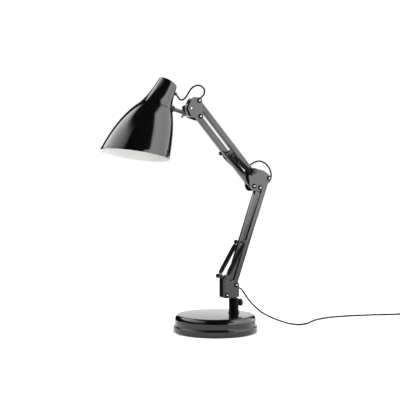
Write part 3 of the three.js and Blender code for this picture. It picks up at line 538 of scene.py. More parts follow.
def slab_with_edges(name, outline, low, high, edge, finish, place, steps=4):
    """An outline in XY made solid from low to high, with rounded upper and lower edges.

    The outline is a list of points with their outward directions. place maps a point.
    """
    angles = [math.pi / 2 * k / steps for k in range(steps + 1)]
    levels = [(edge * (1 - math.sin(a)), low + edge * (1 - math.cos(a))) for a in angles]
    levels += [(edge * (1 - math.cos(a)), high - edge * (1 - math.sin(a))) for a in angles]
    rings = [
        [place((at - outward * inset).to_3d() + UPRIGHT * z) for at, outward in outline]
        for inset, z in levels
    ]
    return piece(name, *skin(rings), finish)


def rounded_outline(half_x, half_y, radius, steps=8):
    """A rectangle with round corners, as (point, outward direction)."""
    outline = []
    for cx, cy, start in ((1, -1, -90), (1, 1, 0), (-1, 1, 90), (-1, -1, 180)):
        centre = Vector((cx * (half_x - radius), cy * (half_y - radius)))
        for k in range(steps + 1):
            angle = math.radians(start + 90 * k / steps)
            outward = Vector((math.cos(angle), math.sin(angle)))
            outline.append((centre + outward * radius, outward))
    return outline


def on_switch(point):
    turn = Quaternion(UPRIGHT, SWITCH_HEADING)
    return SWITCH_CENTRE + turn @ point


def make_switch():
    """Two half shells with a fine seam, a rocker frame and a sleeve at each end."""
    low, seam, high = 0.0002, 0.0066, 0.0138
    shell = rounded_outline(0.025, 0.0105, 0.008)
    waist = rounded_outline(0.0246, 0.0101, 0.0076)
    collar = rounded_outline(0.0098, 0.0068, 0.002)
    parts = []
    for name, outline, bottom, top, edge, steps in (
        ("switch_lower_shell", shell, low, seam, 0.0016, 4),
        ("switch_seam", waist, seam - 0.0006, seam + 0.0008, 0.0002, 1),
        ("switch_upper_shell", shell, seam + 0.0002, high, 0.0022, 4),
        ("switch_rocker_frame", collar, high - 0.001, high + 0.0007, 0.0005, 4),
    ):
        node = None if parts else "switch_housing"
        slab = slab_with_edges(name, outline, bottom, top, edge, "black_plastic", on_switch, steps)
        parts.append(stands_for(slab, "base", node))
    heading = Quaternion(UPRIGHT, SWITCH_HEADING) @ RIGHT
    for name, side in (("in", -1), ("out", 1)):
        sleeve = looped(softened([
            (CORD_RADIUS, -0.001), (0.0036, -0.001), (0.0034, 0.0008), (0.0029, 0.0016),
            (0.0029, 0.0022), (0.0024, 0.0026), (0.0018, 0.0032), (CORD_RADIUS, 0.0032)], 0.0003))
        end = on_switch(Vector((side * 0.0245, 0, 0.0044)))
        parts.append(turned(
            "base", None, f"switch_sleeve_{name}", sleeve, end, heading * side, "rubber", 24))
    return parts


def make_rocker():
    """A rocker with a hollow top that is pressed down on one side."""
    half_x, half_y, steps = 0.0084, 0.0055, 10
    side = [(-half_x, 0.0100), (half_x, 0.0100)]
    for k in range(steps + 1):
        t = k / steps
        side.append((half_x - 2 * half_x * t, 0.0146 + 0.0030 * t - 0.0044 * t * (1 - t)))
    rings = [[on_switch(Vector((x, y, z))) for x, z in side] for y in (-half_y, half_y)]
    rocker = piece("cord_switch_rocker", *skin(rings), "black_plastic")
    add_bevel(rocker, 0.0005)
    return stands_for(rocker, "switch_rocker", "switch_rocker")


def add_bevel(made, width, segments=3):
    """Rounds the sharp edges of a piece or of a CAD part."""
    bevel = made.modifiers.new("rounded_edges", "BEVEL")
    bevel.width = width
    bevel.segments = segments
    bevel.limit_method = "ANGLE"
    bevel.angle_limit = SMOOTH_BELOW
    bevel.harden_normals = True
    return bevel


def make_plug():
    """A slim two-pin plug: a waisted body with grip grooves, a sleeve and sleeved pins."""
    nose, tail, rows, sides = -0.018, 0.016, 26, 40
    edge = 0.0012
    squareness = 0.45
    rings = []
    for k in range(rows + 1):
        t = k / rows
        half_y = 0.0036 + 0.0134 * (1 - t) ** 0.75
        half_z = 0.0040 + 0.0028 * (1 - t) ** 0.5
        if 0.28 < t < 0.72:
            half_y -= 0.0004 * (1 - math.cos(2 * math.pi * (t - 0.28) / 0.11))
        if k == 0:
            half_y, half_z = half_y - edge, half_z - edge
        rings.append([])
        for s in range(sides):
            angle = 2 * math.pi * s / sides
            c, q = math.cos(angle), math.sin(angle)
            y = half_y * math.copysign(abs(c) ** squareness, c)
            z = half_z * math.copysign(abs(q) ** squareness, q)
            rings[-1].append(PLUG_CENTRE + Vector((nose + (tail - nose) * t, y, z)))
    body = stands_for(piece("plug_shell", *skin(rings), "black_plastic"), "base", "plug_body")

    ribs = [(0, 0.0)]
    for k in range(4):
        start = 0.0004 + k * 0.0012
        big = 0.0034 - k * 0.00035
        ribs += [(big, start), (big, start + 0.0007), (big - 0.0005, start + 0.0008),
                 (big - 0.0005, start + 0.0011)]
    ribs += [(0.0019, 0.0052), (0, 0.0052)]
    sleeve = turned(
        "base", None, "plug_sleeve", softened(ribs, 0.0002, 2),
        PLUG_CENTRE + RIGHT * (tail - 0.0005), RIGHT, "rubber", 28)

    pieces = [body, sleeve]
    cover = softened([(0, -0.001), (0.0019, -0.001), (0.0019, 0.009), (0, 0.009)], 0.0002)
    pin = softened([
        (0, 0.0088), (0.002, 0.0088), (0.002, 0.0175), (0.0012, 0.019), (0, 0.0192)], 0.0003)
    for name, y in (("left", -0.0093), ("right", 0.0093)):
        foot = PLUG_CENTRE + Vector((nose, y, 0))
        pieces.append(turned(
            "base", None, f"plug_pin_cover_{name}", cover, foot, -RIGHT, "black_plastic", 24))
        pieces.append(turned(
            "base", f"plug_pin_{name}", f"plug_contact_{name}", pin, foot, -RIGHT, "brass", 24))
    return pieces


def make_tie():
    """A rubber strap round the coil, with a small button where its end is fastened."""
    low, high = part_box("mains_cord_tie")
    centre = (low + high) / 2
    size = high - low
    outwards = ((centre - COIL_CENTRE) * Vector((1, 1, 0))).normalized()
    sideways = outwards.cross(UPRIGHT)
    reach = (size.x * abs(outwards.x) + size.y * abs(outwards.y)) / 2
    width, wall = 0.006, 0.0008
    # (share of the width, share of the wall) round the strap's section
    section = [(-0.5, 0.75), (-0.46, 1), (0.46, 1), (0.5, 0.75), (0.5, 0), (-0.5, 0)]
    rings = []
    for at, outward in rounded_outline(reach, size.z / 2, 0.0028, 6):
        rings.append([])
        for across, share in section:
            flat = at - outward * wall * (1 - share)
            rings[-1].append(
                centre + outwards * flat.x + UPRIGHT * flat.y + sideways * (across * width))
    points, faces = skin(rings, looped=True, capped=False)
    strap = stands_for(piece("coil_strap", points, faces, "rubber"), "base", "mains_cord_tie")
    button = softened([
        (0, -0.0006), (0.0021, -0.0006), (0.0021, 0.0004), (0.0013, 0.0009), (0, 0.0010)], 0.0003)
    return [strap, turned(
        "base", None, "coil_strap_button", button, centre + outwards * reach, outwards, "rubber", 24)]


switch_parts = make_switch()
rocker = make_rocker()
plug_parts = make_plug()
tie_parts = make_tie()


def make_outlet_bush():
    """A soft bush in the bracket's wall, with a lip on each side of the sheet."""
    low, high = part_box("cord_grommet")
    start = Vector((low.x, 0, (low.z + high.z) / 2))
    bore = CORD_RADIUS + 0.00005
    outline = looped(softened([
        (bore, 0), (0.0036, 0), (0.0036, 0.0012), (0.0027, 0.0012), (0.0027, 0.0036),
        (0.0040, 0.0036), (0.0036, 0.0052), (0.0026, 0.0068), (bore, 0.0068)], 0.0003))
    return turned(
        "swivel", "cord_grommet", "cord_outlet_bush", outline, start, RIGHT, "rubber", 32)


outlet_bush = make_outlet_bush()


# ---- Base and post ----


def arc(centre_radius, centre_z, radius, start, end, steps, height=None):
    """Points (radius, height) on a round or oval arc, from start to end in degrees."""
    height = height or radius
    points = []
    for k in range(steps + 1):
        angle = math.radians(start + (end - start) * k / steps)
        points.append((centre_radius + radius * math.cos(angle), centre_z + height * math.sin(angle)))
    return points


def make_base():
    foot = PAD_HEIGHT - 0.0015
    tier = BASE_RADIUS - BASE_STEP
    flat = tier - ROLL_RADIUS
    roll_z = BASE_HEIGHT - ROLL_HEIGHT
    inner_roll = ROLL_RADIUS - COVER_WALL
    outline = [
        (BASE_RADIUS - 0.0006, foot), (BASE_RADIUS, foot + 0.0008),
        *arc(BASE_RADIUS - 0.0015, FLANGE_HEIGHT - 0.0015, 0.0015, 0, 90, 6),
        *arc(tier + 0.0006, FLANGE_HEIGHT + 0.0006, 0.0006, 270, 180, 4),
        *arc(flat, roll_z, ROLL_RADIUS, 0, 90, 16, ROLL_HEIGHT),
        (0, BASE_HEIGHT),
        (0, BASE_HEIGHT - COVER_WALL),
        *arc(flat, roll_z, inner_roll, 90, 0, 6, ROLL_HEIGHT - COVER_WALL),
        (tier - COVER_WALL, FLANGE_HEIGHT - COVER_WALL),
        (BASE_RADIUS - COVER_WALL, FLANGE_HEIGHT - COVER_WALL),
        (BASE_RADIUS - COVER_WALL, foot),
        (BASE_RADIUS - 0.0006, foot),
    ]
    turned("base", "base_cover", "base_shell", outline, Vector(), UPRIGHT, "gloss_enamel", 160)

    pad = softened([
        (0, 0.0), (BASE_RADIUS - 0.003, 0.0), (BASE_RADIUS - 0.002, 0.001),
        (BASE_RADIUS - 0.002, PAD_HEIGHT), (0, PAD_HEIGHT)], 0.0004)
    turned("base", "base_pad", "base_foot_pad", pad, Vector(), UPRIGHT, "rubber", 96)


def make_post():
    seat = BASE_HEIGHT + GAP
    bore = STEM_RADIUS + 0.0004
    spigot = STEM_RADIUS - GAP
    axis = Vector((POST_X, 0, 0))
    outline = softened([
        (0, PAD_HEIGHT + 0.001), (spigot, PAD_HEIGHT + 0.001), (spigot, seat),
        (POST_RADIUS + 0.0012, seat), (POST_RADIUS + 0.0012, seat + 0.0012),
        (POST_RADIUS, seat + 0.0022), (POST_RADIUS, POST_TOP), (bore, POST_TOP),
        (bore, seat + 0.004), (0, seat + 0.004)], 0.0005)
    turned("base", "post_tube", "post_column", outline, axis, UPRIGHT, "matt_black", 64)

    start = STEM_RADIUS + GAP
    head = POST_RADIUS + 0.0022
    knob = softened([
        (0, start), (BOLT_RADIUS, start), (BOLT_RADIUS, head - 0.001), (0.0050, head - 0.001),
        (0.0058, head + 0.0004), (0.0067, head + 0.0008), (0.0070, head + 0.0044),
        (0.0054, head + 0.0058), (0, head + 0.0064)], 0.0009, 4)
    turned(
        "thumb_screw", "thumb_screw", "post_lock_knob", knob, Vector((POST_X, 0, CLAMP_Z)), RIGHT,
        "black_plastic", 72, wave=(12, 0.00022, 0.0050))


make_base()
make_post()

# ---- Rivets, pins, bushes and springs ----

SIDES = {"near": -SIDEWAYS, "far": SIDEWAYS}
RIVET_HEAD = 0.0021
RIVET_DOME = 0.0018
RIVET_WASHER = 0.0046
WASHER_THICKNESS = 0.0006


def make_rivet(place, pivot, body):
    """A bright dome on a black washer at each end of a shank through both plates."""
    face = PLATE_OUTER + 0.00005
    seat = face + WASHER_THICKNESS
    dome = arc(0, seat, RIVET_HEAD, 90, 0, 8, RIVET_DOME)
    far_side = [*dome, (RIVET_HEAD, seat), (BOLT_RADIUS, seat)]
    near_side = [(radius, -along) for radius, along in far_side]
    turned(
        body, f"rivet_{place}", f"dome_rivet_{place}", [*near_side, *reversed(far_side)], pivot,
        SIDEWAYS, "bright_steel", 36)
    washer = softened([
        (BOLT_RADIUS, face), (RIVET_WASHER, face), (RIVET_WASHER, seat), (BOLT_RADIUS, seat),
        (BOLT_RADIUS, face)], 0.0003)
    for side, facing in SIDES.items():
        turned(body, None, f"rivet_washer_{place}_{side}", washer, pivot, facing, "matt_black", 36)


RIVETS = {
    "bracket_left": (BRACKET_LEFT, "swivel"),
    "bracket_right": (BRACKET_RIGHT, "swivel"),
    "elbow_left": (ELBOW_LEFT, "elbow"),
    "elbow_right": (ELBOW_RIGHT, "elbow"),
    "elbow_upper_arm": (ELBOW_UPPER_ARM, "elbow"),
    "head_lower": (HEAD_LOWER, "head_bracket"),
    "head_upper": (HEAD_UPPER, "head_bracket"),
}
for place, (pivot, body) in RIVETS.items():
    make_rivet(place, pivot, body)


def make_bushes(place, pivot, body):
    """The two spacers that keep a rod in the middle between the plates."""
    inner, outer = ROD_HALF + GAP, PLATE_OUTER - PLATE_THICKNESS - GAP
    bore, edge = BOLT_RADIUS + 0.0001, 0.0036
    ring = looped(softened([
        (bore, inner), (edge, inner), (edge, inner + 0.0008), (edge - 0.0006, inner + 0.0010),
        (edge - 0.0006, outer - 0.0010), (edge, outer - 0.0008), (edge, outer), (bore, outer)],
        0.0002, 2))
    for side, facing in SIDES.items():
        turned(body, None, f"bush_{place}_{side}", ring, pivot, facing, "black_plastic", 28)


for place, (pivot, body) in {**RIVETS, "elbow_knob": (ELBOW_KNOB, "elbow")}.items():
    make_bushes(place, pivot, body)


def make_spring_pin(name, pivot, body, node):
    reach = SPRING_PIN_REACH
    cap = reach - SPRING_CAP_LENGTH
    side = softened([
        (SPRING_PIN_RADIUS, 0.0), (SPRING_PIN_RADIUS, cap), (SPRING_CAP_RADIUS, cap),
        (SPRING_CAP_RADIUS, reach), (0, reach)], 0.0008, 4)
    mirrored = [(radius, -along) for radius, along in reversed(side)]
    turned(
        body, node, name, [*mirrored[:-1], *side[1:]], pivot, SIDEWAYS, "black_plastic", 40)


make_spring_pin(
    "spring_pin_bracket", LOWER_SPRING_ANCHOR, "swivel", "lower_spring_anchor_pin")
make_spring_pin(
    "spring_pin_lower_rod", LOWER_SPRING_PIN, "lower_rod_left", "lower_spring_rod_pin")
make_spring_pin(
    "spring_pin_upper_rod", UPPER_SPRING_PIN, "upper_rod_lower", "upper_spring_rod_pin")


def make_spring_studs():
    """The two studs beside the elbow knob that hold the upper springs' lower hooks."""
    foot, tip = PLATE_OUTER + GAP, SPRING_PIN_REACH
    outline = softened([
        (0, foot), (0.0026, foot), (0.0026, foot + 0.0008), (SPRING_PIN_RADIUS, foot + 0.0010),
        (SPRING_PIN_RADIUS, tip - 0.0032), (STUD_CAP_RADIUS, tip - 0.0030),
        (STUD_CAP_RADIUS, tip - 0.0006), (STUD_CAP_RADIUS - 0.0007, tip), (0, tip)], 0.0002)
    for side, facing in SIDES.items():
        turned(
            "elbow", f"upper_spring_stud_{side}", f"spring_stud_{side}", outline,
            UPPER_SPRING_ANCHOR, facing, "black_plastic", 32)


make_spring_studs()


def spring_line(start, end):
    """A close-wound tension spring with a hook round the pin at each end."""
    along = (end - start).normalized()
    lift = along.cross(SIDEWAYS)
    hook = SPRING_PIN_RADIUS + SPRING_WIRE + 0.0002
    neck = 0.0055  # from the pin to the first turn
    coil = SPRING_RADIUS - SPRING_WIRE
    pitch = 2.35 * SPRING_WIRE
    steps = 14

    def hooked(pin, direction):
        """From the far side of the pin, round it and back to the spring's middle line."""
        points = []
        for k in range(11):
            angle = math.radians(-150 + 24 * k)
            points.append(pin - direction * hook * math.cos(angle) + lift * hook * math.sin(angle))
        return [*points, pin + direction * (neck - 0.0015) + lift * 0.0005]

    first, last = start + along * neck, end - along * neck
    turns = round((last - first).length / pitch)
    line = hooked(start, along)
    for k in range(turns * steps + 1):
        share = k / (turns * steps)
        angle = 2 * math.pi * k / steps
        size = coil * min(1, 0.75 + 2 * share, 0.75 + 2 * (1 - share))
        line.append(
            first.lerp(last, share) + (SIDEWAYS * math.sin(angle) + lift * math.cos(angle)) * size)
    return line + hooked(end, -along)[::-1]


def make_springs(name, start, end):
    for side, facing in SIDES.items():
        across = facing * SPRING_Y
        line = spring_line(start + across, end + across)
        spring = swept(f"{name}_coil_{side}", line, SPRING_WIRE, "spring_steel", 8)
        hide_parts(f"{name}_{side}")
        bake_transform(spring)


make_springs("lower_spring", LOWER_SPRING_ANCHOR, LOWER_SPRING_PIN)
make_springs("upper_spring", UPPER_SPRING_ANCHOR, UPPER_SPRING_PIN)

# ---- Knob, bolts and wing nut ----

PLATE_FACE = PLATE_OUTER + GAP


def make_elbow_knob():
    face = PLATE_FACE
    knob = softened([
        (BOLT_RADIUS + GAP, face), (0.0046, face), (0.0052, face + 0.0010), (0.0052, face + 0.0072),
        (0.0040, face + 0.0086), (0, face + 0.0086), (0, face + 0.0054),
        (BOLT_RADIUS + GAP, face + 0.0054), (BOLT_RADIUS + GAP, face)], 0.0005)
    turned(
        "elbow_knob", "elbow_knob", "elbow_grip_knob", knob, ELBOW_KNOB, -SIDEWAYS,
        "black_plastic", 80, wave=(16, 0.00015, 0.0042))

    bolt = softened([
        (0, -0.0050 - face), (BOLT_RADIUS, -0.0050 - face), (BOLT_RADIUS, face), (0.0036, face),
        (0.0036, face + 0.0026), (0.0028, face + 0.0032), (0, face + 0.0032)], 0.0003)
    turned(
        "elbow", "elbow_knob_bolt", "elbow_bolt", bolt, ELBOW_KNOB, SIDEWAYS, "bright_steel", 36)


def make_tilt_bolt():
    face = PLATE_FACE
    bolt = softened([
        (0, -face - 0.0022), (0.0014, -face - 0.0022), (0.0023, -face - 0.0012),
        (0.0023, -face), (BOLT_RADIUS, -face),
        (BOLT_RADIUS, face + 0.010), (0, face + 0.010)], 0.0003)
    turned(
        "head_bracket", "tilt_bolt", "tilt_pivot_bolt", bolt, TILT, SIDEWAYS, "bright_steel", 40)


def make_wing_nut():
    """A turned hub with two rounded wings that lean outwards."""
    face = PLATE_FACE
    bore = BOLT_RADIUS + GAP
    hub = softened([
        (bore, face), (0.0050, face), (0.0044, face + 0.0070), (bore, face + 0.0070),
        (bore, face)], 0.0005)
    turned(
        "tilt_wing_nut", "tilt_wing_nut", "tilt_nut_hub", hub, TILT, SIDEWAYS, "satin_enamel", 40)

    outline = []
    for k in range(13):
        angle = math.radians(-90 + 225 * k / 12)
        outline.append(Vector((0.012 + 0.0036 * math.cos(angle), 0.007 + 0.0036 * math.sin(angle))))
    outline += [Vector((0.0034, 0.0060)), Vector((0.0034, 0.0008)), Vector((0.0060, 0.0014))]
    for name, turn in (("a", -1.2), ("b", math.pi - 1.2)):
        direction = Vector((math.cos(turn), 0, -math.sin(turn)))
        thick = direction.cross(SIDEWAYS) * 0.0011
        origin = TILT + SIDEWAYS * face
        rings = [
            [origin + direction * p.x + SIDEWAYS * p.y + thick * sign for p in outline]
            for sign in (-1, 1)
        ]
        wing = piece(f"tilt_nut_wing_{name}", *skin(rings), "satin_enamel")
        add_bevel(wing, 0.0006)
        stands_for(wing, "tilt_wing_nut")


make_elbow_knob()
make_tilt_bolt()
make_wing_nut()

# ---- Shade, lampholder and bulb ----


SHADE_SEGMENTS = 112
NECK_EDGE = 0.0005  # the neck's wall where it laps over the bell


def mix(a, b, t):
    return a + (b - a) * t


def neck_radius(v):
    late = SEAM_RADIUS - CAP_RADIUS - NECK_SPREAD
    return CAP_RADIUS + NECK_SPREAD * v + late * v ** NECK_FLARE


def neck_place(v):
    """The centre of the neck and its tilt, at the share v of the way from cap to seam."""
    return CAP_CENTRE.lerp(SEAM_CENTRE, v), mix(CAP_TILT, SEAM_TILT, v)


def bell_radius(u):
    late = RIM_RADIUS - SEAM_RADIUS - BELL_SPREAD
    return SEAM_RADIUS + BELL_SPREAD * u + late * u ** 2


def bell_centre(u):
    upper, lower = SEAM_CENTRE.lerp(BELL_BOW, u), BELL_BOW.lerp(RIM_CENTRE, u)
    return upper.lerp(lower, u)


def outward(tilt):
    """The direction square to an axis that leans by tilt degrees, on the arm's side."""
    lean = math.radians(tilt)
    return Vector((math.cos(lean), 0, -math.sin(lean)))


def section(centre, tilt, radius):
    """One round section of the shade, leaning by tilt degrees about the sideways axis."""
    return circle(centre, outward(tilt), SIDEWAYS, radius, SHADE_SEGMENTS)


def neck_section(v, inset=0):
    return section(*neck_place(v), neck_radius(v) - inset)


def shell(node, rings, white_from, poles=()):
    """A shell of the shade, closed through rings. It is white inside, from ring white_from on."""
    segments = len(rings[0])
    points, faces = skin(rings, looped=not poles, capped=False)
    white = list(range(white_from * segments, len(faces)))
    for pole, ring in zip(poles, (0, len(rings) - 1)):
        points.append(pole)
        for k in range(segments):
            if ring:
                white.append(len(faces))
            start = ring * segments
            faces.append((len(points) - 1, start + k, start + (k + 1) % segments))
    made = piece(f"{node}_shell", points, faces, "gloss_enamel", white)
    stands_for(made, "shade", node)


def make_neck():
    rings = []
    dome_steps = 8
    for k in range(1, dome_steps + 1):
        angle = math.pi / 2 * (1 - k / dome_steps)
        centre = leaning(CAP_CENTRE, CAP_TILT, DOME_HEIGHT * math.sin(angle))
        rings.append(section(centre, CAP_TILT, CAP_RADIUS * math.cos(angle)))
    steps = 26
    for k in range(1, steps + 1):
        rings.append(neck_section(k / steps))
    outside = len(rings)
    for k in range(steps, 0, -2):
        v = k / steps
        rings.append(neck_section(v, NECK_EDGE if v > 0.85 else SHADE_WALL))
    ceiling = leaning(CAP_CENTRE, CAP_TILT, -SHADE_WALL)
    rings.append(section(ceiling, CAP_TILT, CAP_RADIUS - SHADE_WALL - 0.0004))
    poles = [
        leaning(CAP_CENTRE, CAP_TILT, height)
        for height in (DOME_HEIGHT, DOME_HEIGHT / 3 - SHADE_WALL)
    ]
    shell("shade_neck", rings, outside, poles)


def make_bell():
    start = 0.01

    def at(u, inset):
        return section(
            bell_centre(start + u * (1 - start)), mix(SEAM_TILT, RIM_TILT, u),
            bell_radius(u) - inset)

    def collar(v, inset):
        return neck_section(v, NECK_EDGE + 0.0001 + inset)

    steps = 34
    shares = [(k / steps) ** 1.5 for k in range(steps + 1)]
    rings = [collar(0.88, 0), collar(0.99, 0), at(0.002, 0.0006), at(0.012, 0.0001)]
    rings += [at(u, 0) for u in shares[1:]]
    bead = 0.0006  # the turned edge of the rim
    rings += [at(1 + bead / 0.05, bead * 0.5), at(1 + bead / 0.05, SHADE_WALL * 0.6)]
    outside = len(rings) - 1
    rings += [at(u, SHADE_WALL) for u in reversed(shares[4:])]
    rings += [at(0.02, 0.0026), collar(0.88, SHADE_WALL)]
    shell("shade_bell", rings, outside)


def make_gland():
    centre, tilt = neck_place(GLAND_V)
    origin = centre + outward(tilt) * neck_radius(GLAND_V)
    bore = LOOP_RADIUS + 0.00005
    ribbed = looped(softened([
        (bore, -0.0024), (0.0023, -0.0024), (0.0023, 0.0016), (0.0036, 0.0016), (0.0036, 0.0024),
        (0.0026, 0.0027), (0.0026, 0.0032), (0.0030, 0.0033), (0.0028, 0.0039), (0.0022, 0.0041),
        (0.0022, 0.0047), (bore, 0.0050)], 0.0002, 2))
    turned(
        "shade", "shade_cable_gland", "shade_cable_bush", ribbed, origin,
        outward(tilt + GLAND_DROOP), "rubber", 32)


def make_lampholder():
    axis = (SEAM_CENTRE - CAP_CENTRE).normalized()
    holder = softened([
        (0, 0.005), (0.0105, 0.005), (0.0125, 0.007), (0.0125, 0.017), (0.0150, 0.0185),
        (0.0162, 0.020), (0.0162, 0.046), (0.014, 0.046), (0.014, 0.025), (0, 0.025)], 0.0008)
    turned("shade", "lampholder", "lampholder_body", holder, CAP_CENTRE, axis, "porcelain", 56)

    thread = [(0, 0.0265), (0.004, 0.0265), (0.005, 0.0285), (0.0122, 0.032)]
    turns, steps = 5, 6
    for k in range(turns * steps + 1):
        along = 0.0325 + 0.0026 * k / steps
        thread.append((0.0127 + 0.00045 * math.cos(2 * math.pi * k / steps), along))
    thread += [(0.0131, 0.0505), (0.0131, 0.0515), (0, 0.0515)]
    turned("shade", "bulb_cap", "bulb_screw_cap", thread, CAP_CENTRE, axis, "brass", 48)

    centre, radius, glass, neck = 0.097, 0.0275, 0.001, 0.0518
    globe = [(0.0128, neck), (0.0136, 0.055), (0.0145, 0.058)]
    globe += arc(0, centre, radius, -53, 90, 22)
    globe[-1] = (0, centre + radius)
    inside = arc(0, centre, radius - glass, 90, -53, 14)
    inside[0] = (0, centre + radius - glass)
    globe += [*inside, (0.0135, 0.058), (0.0118, neck), (0.0128, neck)]
    turned("shade", "bulb_globe", "bulb_glass_globe", globe, CAP_CENTRE, axis, "opal_glass", 64)


make_neck()
make_bell()
make_gland()
make_lampholder()

# ---- CAD parts that stay: flat sheet, tubes and hidden castings ----

# (finish, width of the rounded edges, nodes)
KEPT = [
    ("satin_enamel", 0.0011, [
        "lower_rod_left", "lower_rod_right", "upper_rod_lower", "upper_rod_upper"]),
    ("satin_enamel", 0.0006, [
        "lower_bracket", "elbow_plate_near", "elbow_plate_far", "head_plate_near",
        "head_plate_far"]),
    ("satin_enamel", 0.0003, ["head_link"]),
    ("cast_iron", 0.0004, ["bracket_stem"]),
    ("cast_iron", 0.0008, ["base_weight"]),
    ("bright_steel", 0.0003, ["post_nut"]),
]


def finish_part(node, finish, edge):
    """The finish and rounded edges of one CAD part. On the enamelled parts the rounded edges are matt
    black: a painted dark outline that stands in for the shade and dark reflections along the edges.
    """
    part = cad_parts[node]
    part.data.materials.clear()
    part.data.materials.append(MATERIALS[finish])
    weld = part.modifiers.new("weld", "WELD")
    weld.merge_threshold = 0.00001
    bevel = add_bevel(part, edge)
    # Painted shade: the bevel faces of enamelled parts take matt black, a dark outline standing in for
    # edge shade and dark reflections.
    if finish == "satin_enamel":
        part.data.materials.append(MATERIALS["matt_black"])
        bevel.material = 1
    part.data.shade_smooth()
    if "rod" not in node:
        weighted = part.modifiers.new("flat_faces", "WEIGHTED_NORMAL")
        weighted.mode = "FACE_AREA"
        weighted.weight = 100


for finish, edge, nodes in KEPT:
    for node in nodes:
        finish_part(node, finish, edge)


# ---- Light and floor ----

# The studio that the gloss reflects, as (degrees round from +X towards +Y, brightness). A light
# box stands on the right of the camera, a narrow panel behind the lamp and a large one, only
# high up, behind it on the left. The rest of the room is dark.
LOW_STUDIO = [
    (-180, 0.02), (-83, 0.02), (-81, 3.4), (-50, 4.6), (-15, 3.0), (20, 2.2), (22, 0.02),
    (44, 0.02), (46, 1.2), (78, 1.2), (80, 0.02), (180, 0.02),
]
HIGH_STUDIO = [
    (-180, 2.6), (-152, 0.9), (-149, 0.02), (-62, 0.02), (-59, 3.6), (-50, 4.6), (-15, 3.0),
    (20, 2.2), (22, 0.02), (44, 0.02), (46, 1.2), (78, 1.2), (80, 0.02), (102, 0.02),
    (104, 4.4), (140, 3.8), (180, 2.6),
]
BRIGHTEST = 5
PANEL_BOTTOM = (20, 24)  # degrees up over which the low ring gives way to the high one
PANEL_TOP = (52, 64)  # degrees up over which the high ring gives way to the dark ceiling
OVERHEAD = 0.02
FLOOR_GLOW = 0.22  # the floor is a light table, so that shadows stay faint


def prop(name, points, faces, material):
    """A mesh of the studio, which isn't part of the lamp."""
    mesh = bpy.data.meshes.new(name)
    mesh.from_pydata(points, [], faces)
    mesh.materials.append(material)
    made = linked(name, mesh)
    return made


def make_floor():
    size = 24
    corners = [(-size, -size, 0), (size, -size, 0), (size, size, 0), (-size, size, 0)]
    prop("floor", corners, [(0, 1, 2, 3)], surface(
        "floor_paper", 0.90, 0.93, (0.8, 0.9), 40, 0.00002,
        Specular_IOR_Level=0.1, Emission_Color=(1, 1, 1, 1), Emission_Strength=FLOOR_GLOW))


def glowing(name, strength):
    material = bpy.data.materials.new(name)
    material.use_nodes = True
    shader = material.node_tree.nodes["Principled BSDF"]
    shader.inputs["Base Color"].default_value = (0, 0, 0, 1)
    shader.inputs["Specular IOR Level"].default_value = 0
    shader.inputs["Emission Color"].default_value = (1, 1, 1, 1)
    shader.inputs["Emission Strength"].default_value = strength
    return material


def make_backdrop():
    """A plain white dome far outside, which only gives the view its background."""
    radius, steps, segments = 20, 12, 48
    rings = []
    for step in range(steps + 1):
        up = math.radians(-10 + 100 * step / steps)
        centre = UPRIGHT * radius * math.sin(up)
        rings.append(circle(centre, RIGHT, SIDEWAYS, radius * math.cos(up), segments))
    dome = prop("backdrop", *skin(rings, capped=False), glowing("backdrop_white", 1))
    dome.visible_diffuse = False
    dome.visible_glossy = False
    dome.visible_transmission = False
    dome.visible_shadow = False


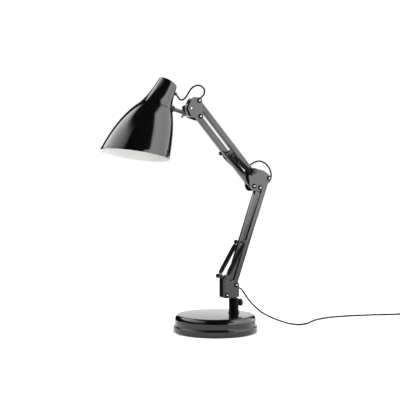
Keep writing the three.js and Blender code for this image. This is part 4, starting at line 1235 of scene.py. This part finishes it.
def make_world():
    world = bpy.data.worlds.new("studio")
    bpy.context.scene.world = world
    world.use_nodes = True
    tree = world.node_tree
    place = add_node(tree, "TexCoord").outputs["Generated"]
    parts = add_node(tree, "SeparateXYZ", Vector=place).outputs

    def maths(operation, *values):
        made = add_node(tree, "Math")
        made.operation = operation
        for socket, value in zip(made.inputs, values):
            feed(tree, socket, value)
        return made.outputs[0]

    around = maths("ARCTAN2", parts["Y"], parts["X"])
    turn = maths("ADD", maths("DIVIDE", around, 2 * math.pi), 0.5)
    up = maths("ARCSINE", parts["Z"])

    def grey(brightness):
        return (*[brightness / BRIGHTEST] * 3, 1)

    def ring(stops):
        ramp = add_node(tree, "ValToRGB", Fac=turn)
        elements = ramp.color_ramp.elements
        while len(elements) < len(stops):
            elements.new(0.5)
        for element, (degrees, brightness) in zip(elements, stops):
            element.position = degrees / 360 + 0.5
            element.color = grey(brightness)
        return ramp.outputs["Color"]

    def blended(limits, below, above):
        low, high = (math.radians(limit) for limit in limits)
        share = add_node(tree, "MapRange", Value=up, From_Min=low, From_Max=high)
        share.interpolation_type = "SMOOTHSTEP"
        mixed = add_node(tree, "Mix")
        mixed.data_type = "RGBA"
        feed(tree, mixed.inputs["Factor"], share.outputs["Result"])
        feed(tree, mixed.inputs["A"], below)
        feed(tree, mixed.inputs["B"], above)
        return mixed.outputs["Result"]

    walls = blended(PANEL_BOTTOM, ring(LOW_STUDIO), ring(HIGH_STUDIO))
    background = tree.nodes["Background"]
    feed(tree, background.inputs["Color"], blended(PANEL_TOP, walls, grey(OVERHEAD)))
    feed(tree, background.inputs["Strength"], BRIGHTEST)


def make_card(name, radius, start, end, high, finish):
    """An upright curved card round the lamp, from start to end in degrees."""
    steps = 40
    lift = 0.002
    points, faces = [], []
    for k in range(steps + 1):
        around = math.radians(start + (end - start) * k / steps)
        for z in (lift, high):
            points.append((radius * math.cos(around), radius * math.sin(around), z))
    for k in range(steps):
        faces.append((2 * k, 2 * k + 2, 2 * k + 3, 2 * k + 1))
    card = prop(name, points, faces, finish)
    card.visible_camera = False
    return card


def make_light_strip():
    """The foot of the light box, which brightens what the lower parts reflect."""
    make_card("light_strip", 1.8, -82, 21, EYE_HEIGHT, glowing("strip_white", 3.6))


def make_flag():
    """A dark card behind on the left, which the bracket's and the post's left sides reflect."""
    flag = make_card("dark_flag", 0.26, 98, 142, 0.14, glowing("flag_black", 0))
    flag.visible_diffuse = False
    flag.visible_shadow = False


def make_fill():
    """Soft light from above for the floor and the matt parts, which no gloss reflects."""
    lamp = bpy.data.lights.new("fill", "SUN")
    lamp.energy = 0.9
    lamp.angle = math.radians(60)
    light = linked("fill", lamp)
    light.rotation_euler = (math.radians(15), math.radians(-10), 0)
    light.visible_glossy = False


make_floor()
make_backdrop()
make_world()
make_light_strip()
make_flag()
make_fill()
bpy.context.scene.view_settings.view_transform = "Standard"
